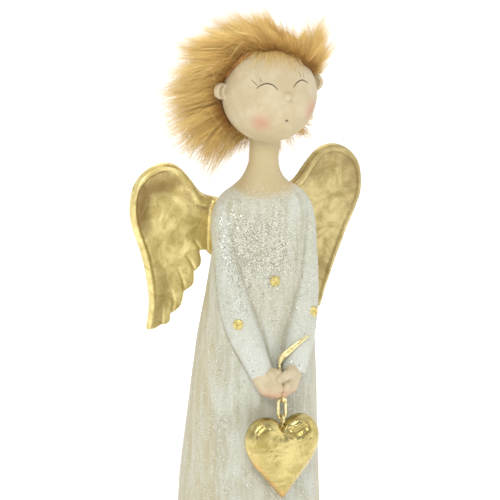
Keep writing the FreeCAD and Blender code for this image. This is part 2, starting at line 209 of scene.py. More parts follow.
def smooth_curve(points, steps):
    """Points along a curve through all the given ones."""
    p = np.asarray(points, float)
    p = np.vstack([2 * p[0] - p[1], p, 2 * p[-1] - p[-2]])
    t = np.linspace(0, 1, steps, endpoint=False)[:, None]
    spans = []
    for a, b, c, d in zip(p, p[1:], p[2:], p[3:]):
        spans.append(b + 0.5 * t * (c - a + t * (2 * a - 5 * b + 4 * c - d + t * (3 * (b - c) + d - a))))
    return np.vstack(spans + [p[-2:-1]])


def circle(count):
    """Cosine and sine at even steps round a circle."""
    return [(math.cos(turn), math.sin(turn)) for turn in (2 * math.pi * k / count for k in range(count))]


def ring_faces(rings, around):
    """Faces between the rings of a stack, each ring of as many points."""
    faces = []
    for low in range(0, (rings - 1) * around, around):
        for k in range(around):
            a, b = low + k, low + (k + 1) % around
            faces.append((a, b, b + around, a + around))
    return faces


def capped(rings, around):
    """Faces of a stack of rings, closed at both ends."""
    last = range((rings - 1) * around, rings * around)
    return ring_faces(rings, around) + [tuple(reversed(range(around))), tuple(last)]


def tube(path, radii, sides=10):
    """A closed round bar along a path, with a radius at each of its points."""
    path = np.asarray(path, float)
    radii = np.broadcast_to(np.asarray(radii, float), len(path))
    along = np.gradient(path, axis=0)
    along /= np.linalg.norm(along, axis=1)[:, None]
    side = np.cross(along[0], [0.3, 0.2, 1.0])
    verts, turns = [], circle(sides)
    for centre, way, radius in zip(path, along, radii):
        side = side - way * (side @ way)
        side /= np.linalg.norm(side)
        other = np.cross(way, side)
        verts += [centre + radius * (side * c + other * s) for c, s in turns]
    return np.array(verts), capped(len(path), sides)


def capsule(start, end, start_radius, end_radius, sides=18):
    """A tapered bar with round ends."""
    start, end = np.asarray(start, float), np.asarray(end, float)
    way = (end - start) / np.linalg.norm(end - start)
    path, radii = [], []
    for place, radius, first, last in ((start, start_radius, -88, 0), (end, end_radius, 0, 88)):
        for angle in np.radians(np.linspace(first, last, 7)):
            path.append(place + way * radius * math.sin(angle))
            radii.append(radius * math.cos(angle))
    return tube(path, radii, sides)


def on_head(latitude, longitude, radius=HEAD_R):
    """A point on the head, by degrees up from its middle and round from the nose to the figure's left."""
    lat, lon = math.radians(latitude), math.radians(longitude)
    way = np.array([math.cos(lat) * math.sin(lon), -math.cos(lat) * math.cos(lon), math.sin(lat)])
    return HEAD + radius * way


# ---------------------------------------------------------------- materials
def srgb(red, green, blue):
    """A colour given as it is seen, from 0 to 255, in the linear values that shaders take."""
    seen = [c / 255 for c in (red, green, blue)]
    return (*(c / 12.92 if c <= 0.04045 else ((c + 0.055) / 1.055) ** 2.4 for c in seen), 1.0)


RANGE_ENDS = ("From Min", "From Max", "To Min", "To Max")


class Shader:
    """A node material whose patterns are laid out in millimetres on the figurine."""

    def __init__(self, name):
        self.material = bpy.data.materials.new(name)
        self.material.use_nodes = True
        self.nodes = self.material.node_tree.nodes
        self.links = self.material.node_tree.links
        self.surface = self.nodes["Principled BSDF"]
        place = self.nodes.new("ShaderNodeTexCoord").outputs["Object"]
        self.place = self.vector("MULTIPLY", place, (1 / MM, 1 / MM, 1 / MM))

    def feed(self, socket, value):
        if isinstance(value, bpy.types.NodeSocket):
            self.links.new(value, socket)
        else:
            socket.default_value = value

    def set(self, **values):
        for name, value in values.items():
            self.feed(self.surface.inputs[name.replace("_", " ")], value)
        return self.material

    def vector(self, operation, first, second=(0, 0, 0)):
        node = self.nodes.new("ShaderNodeVectorMath")
        node.operation = operation
        self.feed(node.inputs[0], first)
        self.feed(node.inputs[1], second)
        return node.outputs["Value" if operation in ("DISTANCE", "LENGTH", "DOT_PRODUCT") else "Vector"]

    def math(self, operation, first, second=0.0):
        node = self.nodes.new("ShaderNodeMath")
        node.operation = operation
        self.feed(node.inputs[0], first)
        self.feed(node.inputs[1], second)
        return node.outputs["Value"]

    def times(self, first, second):
        return self.math("MULTIPLY", first, second)

    def plus(self, first, second):
        return self.math("ADD", first, second)

    def less(self, first, second):
        return self.math("SUBTRACT", first, second)

    def noise(self, size, detail=3.0, roughness=0.55, distortion=0.0, stretch=(1, 1, 1)):
        """Noise from 0 to 1 with lumps of a size in millimetres, drawn out by the stretch along each axis."""
        node = self.nodes.new("ShaderNodeTexNoise")
        place = self.vector("MULTIPLY", self.place, tuple(1 / (size * s) for s in stretch))
        self.feed(node.inputs["Vector"], place)
        node.inputs["Scale"].default_value = 1.0
        node.inputs["Detail"].default_value = detail
        node.inputs["Roughness"].default_value = roughness
        node.inputs["Distortion"].default_value = distortion
        return node.outputs["Fac"]

    def cells(self, size):
        """Cells of a size in millimetres: a random colour for each, and the distance to its middle."""
        node = self.nodes.new("ShaderNodeTexVoronoi")
        self.feed(node.inputs["Vector"], self.place)
        node.inputs["Scale"].default_value = 1 / size
        return node.outputs["Color"], node.outputs["Distance"]

    def channel(self, colour, index):
        node = self.nodes.new("ShaderNodeSeparateColor")
        self.feed(node.inputs[0], colour)
        return node.outputs[index]

    def band(self, value, low, high, out_low=0.0, out_high=1.0):
        """A value taken smoothly from one range to another."""
        node = self.nodes.new("ShaderNodeMapRange")
        node.interpolation_type = "SMOOTHSTEP"
        self.feed(node.inputs["Value"], value)
        for name, number in zip(RANGE_ENDS, (low, high, out_low, out_high)):
            node.inputs[name].default_value = number
        return node.outputs["Result"]

    def mix(self, share, first, second):
        """From one colour to another, each from a node or given from 0 to 255."""
        node = self.nodes.new("ShaderNodeMix")
        node.data_type = "RGBA"
        self.feed(node.inputs["Factor"], share)
        for socket, colour in zip(node.inputs[6:8], (first, second)):
            self.feed(socket, srgb(*colour) if isinstance(colour, tuple) else colour)
        return node.outputs[2]

    def spot(self, centre, radius, softness):
        """1 at a place on the figurine, falling to 0 past a radius."""
        far = self.vector("DISTANCE", self.place, tuple(centre))
        return self.band(far, radius - softness, radius + softness, 1.0, 0.0)

    def height(self):
        return self.vector("DOT_PRODUCT", self.place, (0, 0, 1))

    def neckline(self):
        """1 above the ragged line where the robe's paint runs out on the skin."""
        ragged = self.times(self.noise(2.4, 6.0, 0.8), 14.0)
        beside = self.math("ABSOLUTE", self.vector("DOT_PRODUCT", self.place, (1, 0, 0)))
        line = self.less(ragged, self.band(beside, 8.0, 24.0, 0.0, 5.5))
        return self.band(self.plus(self.height(), line), NECKLINE_Z + 4.6, NECKLINE_Z + 9.6)

    def attribute(self, name):
        node = self.nodes.new("ShaderNodeAttribute")
        node.attribute_name = name
        return node.outputs["Fac"]

    def bump(self, height, distance, strength=1.0, normal=None):
        node = self.nodes.new("ShaderNodeBump")
        node.inputs["Strength"].default_value = strength
        node.inputs["Distance"].default_value = distance * MM
        self.feed(node.inputs["Height"], height)
        if normal is not None:
            self.feed(node.inputs["Normal"], normal)
        return node.outputs["Normal"]

    def flake_normal(self, colour, share, tilt, normal):
        """A normal that each flake turns its own way."""
        turned = self.vector("SUBTRACT", colour, (0.5, 0.5, 0.5))
        scaled = self.nodes.new("ShaderNodeVectorMath")
        scaled.operation = "SCALE"
        self.feed(scaled.inputs[0], turned)
        self.feed(scaled.inputs["Scale"], self.times(share, tilt))
        return self.vector("NORMALIZE", self.vector("ADD", normal, scaled.outputs["Vector"]))


def glitter_paint():
    """Cream paint brushed in streaks, with silver patches, dark and bright glitter, rubbed gold, and painted
    shade in the creases and down the robe's sides.
    """
    s = Shader("robe_paint")
    streaks = s.noise(3.6, 4.0, 0.65, stretch=(1, 1, 7))
    wide = s.noise(15.0, 3.0, 0.6, 0.6, stretch=(1, 1, 2.6))
    colour = s.mix(s.band(streaks, 0.36, 0.66), ROBE_LIGHT, ROBE_SHADE)
    patches = s.band(wide, 0.5, 0.66)
    colour = s.mix(s.times(patches, 0.6), colour, SILVER_WHITE)
    sleeve = s.attribute("sleeve")
    cuff = s.times(sleeve, s.band(s.height(), 200.0, 160.0, 0.4, 0.95))
    colour = s.mix(cuff, colour, SILVER_WHITE)
    rub = s.band(s.noise(20.0, 4.0, 0.65, stretch=(1, 1, 3)), 0.54, 0.72)
    colour = s.mix(s.times(rub, 0.42), colour, RUBBED_GOLD_AND_SIDE_SHADE)
    # Warm painted shade down the robe's sides, off the sleeves, in the same colour as the rubbed gold.
    beside = s.math("ABSOLUTE", s.vector("DOT_PRODUCT", s.place, (1, 0, 0)))
    painted_side_shade = s.times(s.band(beside, 26.0, 33.0, 0.0, 0.5), s.less(1.0, sleeve))
    painted_side_shade = s.times(painted_side_shade, s.band(streaks, 0.3, 0.6, 0.3, 1.0))
    colour = s.mix(painted_side_shade, colour, RUBBED_GOLD_AND_SIDE_SHADE)
    # Painted shade in the hollows between folds, where the crease value is high.
    colour = s.mix(s.times(s.attribute("crease"), 0.6), colour, CREASE_SHADE)

    flakes, _ = s.cells(0.4)
    luck = s.channel(flakes, 0)
    chest = s.spot(CHEST_GLITTER, 20.0, 10.0)
    clusters = s.band(s.noise(6.5, 4.0, 0.72, stretch=(1, 1, 1.8)), 0.46, 0.66)
    off_line = s.vector("CROSS_PRODUCT", s.vector("SUBTRACT", s.place, SLEEVE_GLITTER), SLEEVE_WAY)
    arm_line = s.band(s.vector("LENGTH", off_line), 2.5, 7.5, 1.0, 0.15)
    arm = s.times(s.times(sleeve, arm_line), s.band(s.height(), 182.0, 198.0, 0.0, 0.3))
    patch = s.spot(HIP_GLITTER, 4.0, 5.0)
    crowd = s.plus(s.times(chest, 0.26), s.times(clusters, 0.07))
    crowd = s.plus(s.plus(crowd, arm), s.times(patch, 0.25))
    dark = s.math("LESS_THAN", luck, s.plus(crowd, 0.01))
    bright = s.math("GREATER_THAN", luck, s.less(0.965, s.times(crowd, 0.5)))
    colour = s.mix(s.times(dark, 0.55), colour, DARK_GLITTER)
    colour = s.mix(s.times(bright, 0.6), colour, BRIGHT_GLITTER)
    colour = s.mix(s.neckline(), colour, SKIN)
    glints = s.plus(dark, bright)
    rough = s.band(glints, 0.0, 1.0, 0.55, 0.32)
    relief = s.bump(s.noise(1.3, 4.0, 0.7), 0.12, 0.7)
    relief = s.bump(streaks, 0.3, 0.5, relief)
    normal = s.flake_normal(flakes, glints, 0.55, relief)
    return s.set(Base_Color=colour, Metallic=s.times(glints, 0.45), Roughness=rough, Normal=normal)


def skin_paint():
    """Satin ivory paint, with blushed cheeks and painted shade darkening the lower face and neck."""
    s = Shader("skin_paint")
    colour = s.mix(s.band(s.noise(11.0, 3.0), 0.35, 0.65), SKIN, SKIN_SHADE)
    # Painted shade: darker towards the lower face and the neck.
    neck = s.band(s.height(), HEAD[2] - 30, HEAD[2] - 5, 1.0, 0.0)
    colour = s.mix(s.times(neck, 0.8), colour, LOWER_FACE_SHADE)
    for lat, lon in BLUSHES:
        blush = s.spot(on_head(lat, lon), 4.4, 4.6)
        colour = s.mix(s.times(blush, 0.72), colour, BLUSH)
    over = s.less(1.0, s.neckline())
    colour = s.mix(s.times(over, 0.9), colour, ROBE_LIGHT)
    specks, _ = s.cells(0.4)
    speck = s.math("LESS_THAN", s.channel(specks, 0), 0.12)
    dust = s.times(speck, s.band(s.height(), 258.0, 250.0))
    colour = s.mix(s.times(dust, 0.5), colour, BRIGHT_GLITTER)
    normal = s.bump(s.noise(0.9, 3.0), 0.03, 0.6)
    return s.set(Base_Color=colour, Roughness=0.5, Normal=normal, Specular_IOR_Level=0.35)


def hand_paint():
    """The head's paint, pinker towards the finger tips."""
    s = Shader("hand_paint")
    pink = s.band(s.height(), 143.0, 152.0, 0.95, 0.0)
    colour = s.mix(s.band(s.noise(5.0), 0.35, 0.65), SKIN, SKIN_SHADE)
    colour = s.mix(pink, colour, HAND_PINK)
    return s.set(Base_Color=colour, Roughness=0.5, Normal=s.bump(s.noise(0.8), 0.03, 0.6))


def gold_leaf(name, tones, pits_share, roughness):
    """Leaf: crackled, scratched downwards, pitted, darkened by painted shade where it's marked as shaded, and
    rubbed where it's worn.
    """
    s = Shader(name)
    bright, deep, ground = tones
    tone = s.noise(10.0, 5.0, 0.62, 0.8)
    colour = s.mix(s.band(tone, 0.3, 0.75), bright, deep)
    fine = s.noise(0.9, 5.0, 0.75, 0.6)
    colour = s.mix(s.band(fine, 0.45, 0.7, 0.0, 0.35), colour, deep)
    scratches = s.noise(0.7, 4.0, 0.75, stretch=(1, 1, 9))
    colour = s.mix(s.band(scratches, 0.56, 0.72, 0.0, 0.5), colour, deep)
    ragged = s.times(s.attribute("worn"), s.band(s.noise(5.0, 5.0, 0.75), 0.36, 0.6))
    colour = s.mix(s.times(ragged, 0.75), colour, ground)
    cells, far = s.cells(1.5)
    chosen = s.math("LESS_THAN", s.channel(cells, 1), s.band(s.noise(13.0), 0.46, 0.62, 0.0, pits_share))
    pits = s.times(chosen, s.band(far, 0.08, 0.24, 1.0, 0.0))
    colour = s.mix(s.times(pits, 0.8), colour, LEAF_PIT)
    # Painted shade, where the piece marks it.
    colour = s.mix(s.attribute("shade"), colour, LEAF_SHADE)
    rough = s.band(tone, 0.3, 0.7, roughness - 0.05, roughness + 0.12)
    metal = s.less(0.97, s.times(s.plus(ragged, pits), 0.4))
    normal = s.bump(fine, 0.2, 0.65)
    normal = s.bump(s.noise(3.6, 3.0, 0.6, 1.2), 0.2, 0.3, normal)
    normal = s.bump(s.less(1.0, pits), 0.2, 0.8, normal)
    return s.set(Base_Color=colour, Metallic=metal, Roughness=rough, Normal=normal)


def gilding(name, tones, lumps, relief, metallic, roughness):
    """Gold in two tones: the size of its lumps, and the depth and strength of its fine relief."""
    s = Shader(name)
    colour = s.mix(s.band(s.noise(lumps, 4.0), 0.35, 0.7), *tones)
    normal = s.bump(s.noise(0.7, 3.0), *relief)
    return s.set(Base_Color=colour, Metallic=metallic, Roughness=roughness, Normal=normal)


def dark_paint(name, tones):
    """Paint for the face's fine lines."""
    s = Shader(name)
    return s.set(Base_Color=s.mix(s.noise(1.0), *tones), Roughness=0.5)


def fur_fibre():
    """Ginger fur, red-brown at the root and pale at the tip; the dark root end also stands for painted shade
    deep in the fur.
    """
    s = Shader("fur_fibre")
    ramp = s.nodes.new("ShaderNodeValToRGB")
    s.feed(ramp.inputs[0], s.attribute("along"))
    stops = ramp.color_ramp.elements
    stops[0].position, stops[0].color = 0.0, srgb(*FUR_ROOT)
    stops[1].position, stops[1].color = 1.0, srgb(*FUR_TIP)
    for place, tone in ((0.16, FUR_LOW), (0.45, FUR_MIDDLE), (0.78, FUR_HIGH)):
        stop = stops.new(place)
        stop.color = srgb(*tone)
    colour = s.mix(s.times(s.attribute("tint"), 0.48), ramp.outputs[0], FUR_LOW)
    return s.set(Base_Color=colour, Roughness=0.6, Specular_IOR_Level=0.3)


def mottled(name, tones, lumps, grain, depth, roughness):
    """A dull finish in two tones over a fine relief, each laid out by the numbers of its noise."""
    s = Shader(name)
    colour = s.mix(s.noise(*lumps), *tones)
    return s.set(Base_Color=colour, Roughness=roughness, Normal=s.bump(s.noise(*grain), depth))


def drawn_steel():
    """Steel with fine lines along the pins."""
    s = Shader("drawn_steel")
    lines = s.noise(0.6, 3.0, stretch=(1, 1, 20))
    colour = s.mix(lines, *STEEL)
    return s.set(Base_Color=colour, Metallic=1.0, Roughness=0.35, Normal=s.bump(lines, 0.05))


# ---------------------------------------------------------------- robe
OUTSIDE = 90.0  # farther from the axis than anything on the robe


def robe_skin(low, high, rings, around=132, inset=0.0):
    """The outside of robe and neck as a closed grid, read off the CAD castings from all round."""
    tree = surface_tree(*joined(cad_arrays("robe_casting"), cad_arrays("head_casting")))
    skin = []
    for z in np.linspace(low, high, rings):
        for c, s in circle(around):
            way = Vector((c, s, 0.0))
            skin.append(tree.ray_cast(Vector((0, AXIS_Y, z)) + way * OUTSIDE, -way)[0] - way * inset)
    return np.array(skin), capped(rings, around)


def neighbour_mean(mesh, values):
    """The mean of each vertex's neighbours' values."""
    edges = np.zeros(len(mesh.edges) * 2, np.int32)
    mesh.edges.foreach_get("vertices", edges)
    start, end = edges.reshape(-1, 2).T
    here, there = np.concatenate([start, end]), np.concatenate([end, start])
    count = np.bincount(here, minlength=len(values))
    sums = [np.bincount(here, column[there], minlength=len(values)) for column in values.T]
    return np.array(sums).T / np.maximum(count, 1)[:, None]


def creases(mesh, passes=3):
    """From 0 to 1, how far each vertex lies in a hollow between two folds."""
    verts = coordinates(mesh)
    hollow = ((neighbour_mean(mesh, verts) - verts) * at_vertices(mesh, "normal")).sum(1)[:, None]
    for _ in range(passes):
        hollow = 0.4 * hollow + 0.6 * neighbour_mean(mesh, hollow)
    return smoothstep(hollow[:, 0], 0.008, 0.045)


def layer(mesh, name, values):
    """Keeps a value at each vertex for a material to read."""
    mesh.attributes.new(name, "FLOAT", "POINT").data.foreach_set("value", np.asarray(values, np.float32))


def robe(material):
    """Robe and sleeves in one uneven skin, with its creases and its sleeves marked for the paint."""
    sleeves = [cad_arrays(node) for node in ("right_sleeve", "left_sleeve")]
    mesh = remeshed("robe_and_sleeves", [robe_skin(HEM_Z + 0.15, NECKLINE_Z, 150), *sleeves], 0.9, 3)
    verts = coordinates(mesh)
    height = verts[:, 2]
    lumps = 0.2 * unevenness(verts, (14, 14, 40)) + 0.07 * unevenness(verts, (3.5, 3.5, 9), 3, 31.0)
    held = smoothstep(height, HEM_Z + 0.5, HEM_Z + 6.0) * smoothstep(height, NECKLINE_Z, NECKLINE_Z - 5)
    hollow = creases(mesh)
    off_sleeve = np.ones(len(verts))
    for sleeve in sleeves:
        tree = surface_tree(*sleeve)
        gap = [tree.find_nearest(Vector(v))[3] for v in verts]
        off_sleeve = np.minimum(off_sleeve, smoothstep(gap, 0.35, 1.0))
    set_coordinates(mesh, verts + at_vertices(mesh, "normal") * (lumps * held)[:, None])
    # The crease value tells the paint where to lay painted shade.
    layer(mesh, "crease", hollow)
    layer(mesh, "sleeve", 1.0 - off_sleeve)
    replaced = ("robe_casting", "right_sleeve", "left_sleeve")
    finish_piece("robe_and_sleeves", mesh, material, "robe_resin", replaces=replaced)


# ---------------------------------------------------------------- head and face
NOSE_LATITUDE = 7.0
NOSE_RADIUS = 2.6
# Middle of each ear from the middle of the head, and which side of the head it's on.
EARS = ((-1, (-27.0, 0.6, 3.4)), (1, (26.6, 0.6, 4.2)))


def ball(centre, half_sizes, rows=24, turn=0.0):
    """A closed ellipsoid, turned about the vertical by some degrees."""
    verts = []
    c, s = math.cos(math.radians(turn)), math.sin(math.radians(turn))
    for i in range(1, rows):
        out, up = math.sin(math.pi * i / rows), math.cos(math.pi * i / rows)
        for across, deep in circle(2 * rows):
            x, y = half_sizes[0] * out * across, half_sizes[1] * out * deep
            verts.append((x * c - y * s, x * s + y * c, half_sizes[2] * up))
    return np.array(verts) + centre, [face[::-1] for face in capped(rows - 1, 2 * rows)]


def ear(side, place):
    """A small cupped ear, open to the front and a little outwards."""
    middle = HEAD + np.array(place)
    out, up = np.array([side * 0.86, -0.5, 0.0]), np.array([0, 0, 1.0])
    front = np.array([-side * 0.5, -0.86, 0.0])
    ring = [middle + 0.7 * front + 3.1 * c * out + 3.3 * s * up for c, s in circle(32)]
    turn = math.degrees(math.atan2(out[1], out[0]))
    disc = ball(middle - 0.9 * front, (3.9, 1.5, 4.1), 16, turn)
    neck = ball(middle - 0.6 * front - 2.2 * out, (2.4, 1.9, 2.6), 12, turn)
    return [tube(ring + ring[:2], 1.15, 12), disc, neck]


def head(material):
    """Head, neck, nose and ears as one casting."""
    neck = robe_skin(NECKLINE_Z - 3.0, HEAD[2] - 19.0, 48, inset=0.1)
    nose = ball(on_head(NOSE_LATITUDE, 0.0, HEAD_R - 0.1), (NOSE_RADIUS, NOSE_RADIUS, NOSE_RADIUS), 20)
    parts = [ball(HEAD, (HEAD_R, HEAD_R, HEAD_R), 64), neck, nose]
    for side, place in EARS:
        parts += ear(side, place)
    mesh = remeshed("head", parts, 0.45, 3)
    finish_piece("head", mesh, material, "skin_resin", replaces=("head_casting",))


def face_line(name, places, thickness, material):
    """A painted line on the head, thin at both ends."""
    lat_lon = smooth_curve(places, 8)
    path = [on_head(lat, lon, HEAD_R + 0.02) for lat, lon in lat_lon]
    radii = thickness * (0.3 + 0.7 * np.sin(np.linspace(0, 1, len(path)) * math.pi) ** 0.6)
    piece(name, *tube(path, radii, 8), material, slot="skin_resin")


# Latitude and longitude of the painted lines, for the right eye and then for the left one.
EYE_ARCS = (
    ((17.1, -38.4), (21.5, -32.6), (23.7, -24.9), (21.6, -17.4), (16.0, -11.7)),
    ((17.3, 9.0), (22.6, 16.1), (24.5, 25.0), (22.3, 30.8), (19.0, 35.6)),
)
BOLD_LASHES = (((20.4, -36.6), (24.0, -41.6), (27.6, -47.2)), ((24.5, -32.3), (27.2, -33.4), (30.0, -34.6)))
FAINT_LASHES = (((28.2, 25.9), (31.8, 26.2), (35.4, 26.1)), ((26.5, 31.0), (29.4, 32.2), (32.0, 34.0)))
BLUSHES = ((-25.7, -33.0), (-14.7, 41.0))
MOUTH = ((-22.9, 0.5), (-22.9, 1.4))
MOUTH_RADIUS = 0.62


def face(material, mouth_material):
    """Closed eyes, lashes and a small mouth."""
    for name, lines, thickness in (
        ("eye_line", EYE_ARCS, 0.36), ("right_lash", BOLD_LASHES, 0.17), ("left_lash", FAINT_LASHES, 0.12)
    ):
        for i, line in enumerate(lines):
            face_line(f"{name}_{i + 1}", line, thickness, material)
    start, end = (on_head(*place) for place in MOUTH)
    piece("mouth", *capsule(start, end, MOUTH_RADIUS, MOUTH_RADIUS, 14), mouth_material, slot="skin_resin")


# ---------------------------------------------------------------- hands
# Rounded bars that each hand is modelled from: both ends, and the radius at each.
RIGHT_HAND = (
    ((-8.8, -41.0, 158.6), (-8.4, -42.6, 154.8), 4.6, 5.4),
    ((-9.4, -42.0, 154.6), (-7.2, -44.6, 149.8), 5.7, 5.4),
    ((-7.0, -45.8, 152.8), (-3.2, -49.0, 149.8), 4.2, 3.0),
    ((-8.4, -45.4, 150.6), (-3.6, -48.4, 147.0), 3.8, 2.8),
    ((-9.6, -43.6, 149.6), (-4.8, -45.6, 145.8), 3.4, 2.7),
    ((-6.0, -46.4, 156.8), (-3.4, -49.0, 153.4), 3.4, 2.8),
    ((-5.4, -44.8, 157.6), (-2.6, -47.6, 157.4), 3.0, 2.4),
)
LEFT_HAND = (
    ((8.4, -41.0, 158.4), (7.6, -42.8, 155.4), 4.6, 4.8),
    ((7.2, -43.2, 155.0), (5.0, -44.8, 149.6), 5.0, 4.7),
    ((6.0, -46.0, 153.0), (0.8, -49.4, 149.4), 3.3, 2.5),
    ((6.0, -45.4, 150.2), (0.6, -48.6, 146.8), 3.3, 2.5),
    ((5.6, -43.8, 148.8), (1.8, -45.0, 145.8), 3.0, 2.5),
    ((6.2, -45.2, 157.4), (5.0, -47.2, 155.6), 3.4, 3.0),
    ((5.0, -47.6, 157.2), (0.4, -50.2, 156.6), 2.8, 2.6),
    ((5.4, -44.8, 153.6), (0.8, -47.4, 152.8), 2.8, 2.3),
    ((0.4, -50.2, 156.6), (-3.1, -50.8, 155.0), 2.6, 2.1),
)
LINK_ROOM = 3.1  # radius of the hollow that the link's top swings in, between the finger tips


def hands(material):
    """Both hands, with room between the finger tips for the link."""
    for name, bars in (("right_hand", RIGHT_HAND), ("left_hand", LEFT_HAND)):
        mesh = remeshed(name + "_sculpt", [capsule(*bar) for bar in bars], 0.35, 7)
        verts = coordinates(mesh)
        away = verts[:, 1:] - LINK_PIVOT[1:]
        far = np.linalg.norm(away, axis=1)
        room = LINK_ROOM * smoothstep(np.abs(verts[:, 0]), 6.0, 4.4)
        push = np.maximum(0.0, room - far) / np.maximum(far, 0.1)
        verts[:, 1:] += away * push[:, None]
        set_coordinates(mesh, verts)
        finish_piece(name + "_sculpt", mesh, material, "skin_resin", replaces=(name,))


# ---------------------------------------------------------------- wings
# Front outline of the left wing as X and Z: the leading edge from the root to the tip, then the feathers.
WING_LEADING = (
    (7.0, 240.0), (17.0, 243.2), (25.5, 246.6), (32.0, 254.8), (38.6, 262.0),
    (45.6, 264.8), (52.6, 263.6), (59.6, 259.2), (64.4, 252.0), (66.0, 241.0),
    (64.4, 230.6), (58.6, 214.5), (54.2, 198.0), (51.4, 183.0), (50.6, 168.6),
)
FEATHERS = (
    ((50.6, 168.6), (49.6, 166.9), (45.6, 167.2), (42.4, 169.2)),
    ((42.4, 169.2), (39.2, 169.2), (37.4, 171.6), (37.7, 175.7)),
    ((37.7, 175.7), (34.0, 178.8), (32.4, 182.2), (31.7, 189.6)),
    ((31.7, 189.6), (28.4, 191.6), (26.6, 194.6), (27.1, 200.8)),
    ((27.1, 200.8), (24.6, 203.4), (23.5, 206.8), (24.9, 213.1)),
    ((24.9, 213.1), (21.6, 212.8), (18.2, 210.2), (7.0, 209.2)),
)
# Grooves that run up into the wing from the notches between the feathers.
WING_GROOVES = (
    ((42.4, 169.2), (42.9, 176.0), (44.2, 184.0)),
    ((37.7, 175.7), (37.4, 182.6), (39.4, 191.0)),
    ((31.7, 189.6), (33.4, 195.8), (36.6, 203.4)),
    ((27.1, 200.8), (29.4, 206.0), (32.9, 212.2)),
    ((24.9, 213.1), (26.4, 216.2), (28.8, 219.8)),
)
WING_SWEEP = ((164.0, 24.6), (185.0, 15.0), (207.0, 8.6), (235.0, 4.2), (266.0, 2.4))
WING_THICKNESS = 4.0
WING_ROOT_Y = -9.0  # each wing's root reaches this far into the back


def far_from(points, line):
    """Each point's distance from a polyline, and how far along the line its nearest place is, from 0 to 1."""
    points, line = np.asarray(points, float), np.asarray(line, float)
    best = np.full(len(points), 1e9)
    place = np.zeros(len(points))
    for i, (a, b) in enumerate(zip(line, line[1:])):
        span = b - a
        t = np.clip(((points - a) @ span) / (span @ span), 0, 1)
        gap = np.linalg.norm(points - a - t[:, None] * span, axis=1)
        closer = gap < best
        best[closer] = gap[closer]
        place[closer] = (i + t[closer]) / (len(line) - 1)
    return best, place


def inside(points, ring):
    """Which points lie inside a closed ring."""
    x, z = points[:, 0], points[:, 1]
    odd = np.zeros(len(points), bool)
    for (x1, z1), (x2, z2) in zip(ring, np.roll(ring, -1, axis=0)):
        crosses = (z1 > z) != (z2 > z)
        with np.errstate(divide="ignore", invalid="ignore"):
            at = x1 + (z - z1) * (x2 - x1) / (z2 - z1)
        odd ^= crosses & (x < at)
    return odd


def sheet(ring, spacing, margin):
    """A flat triangle mesh that fills a ring with staggered rows of points."""
    low, high = ring.min(0), ring.max(0)
    grid = np.stack(np.meshgrid(*(np.arange(low[i], high[i], spacing) for i in (0, 1))), -1)
    grid[::2, :, 0] += spacing / 2
    grid = grid.reshape(-1, 2)
    grid = grid[inside(grid, ring)]
    grid = grid[far_from(grid, np.vstack([ring, ring[:1]]))[0] > margin * spacing]
    points = [Vector(p) for p in np.vstack([ring, grid])]
    result = delaunay_2d_cdt(points, [], [list(range(len(ring)))], 1, 1e-5)
    return np.array([tuple(v) for v in result[0]]), [tuple(f) for f in result[2]]


def bell(value, middle, width):
    """1 in the middle, falling away to either side."""
    return np.exp(-(((value - middle) / width) ** 2))


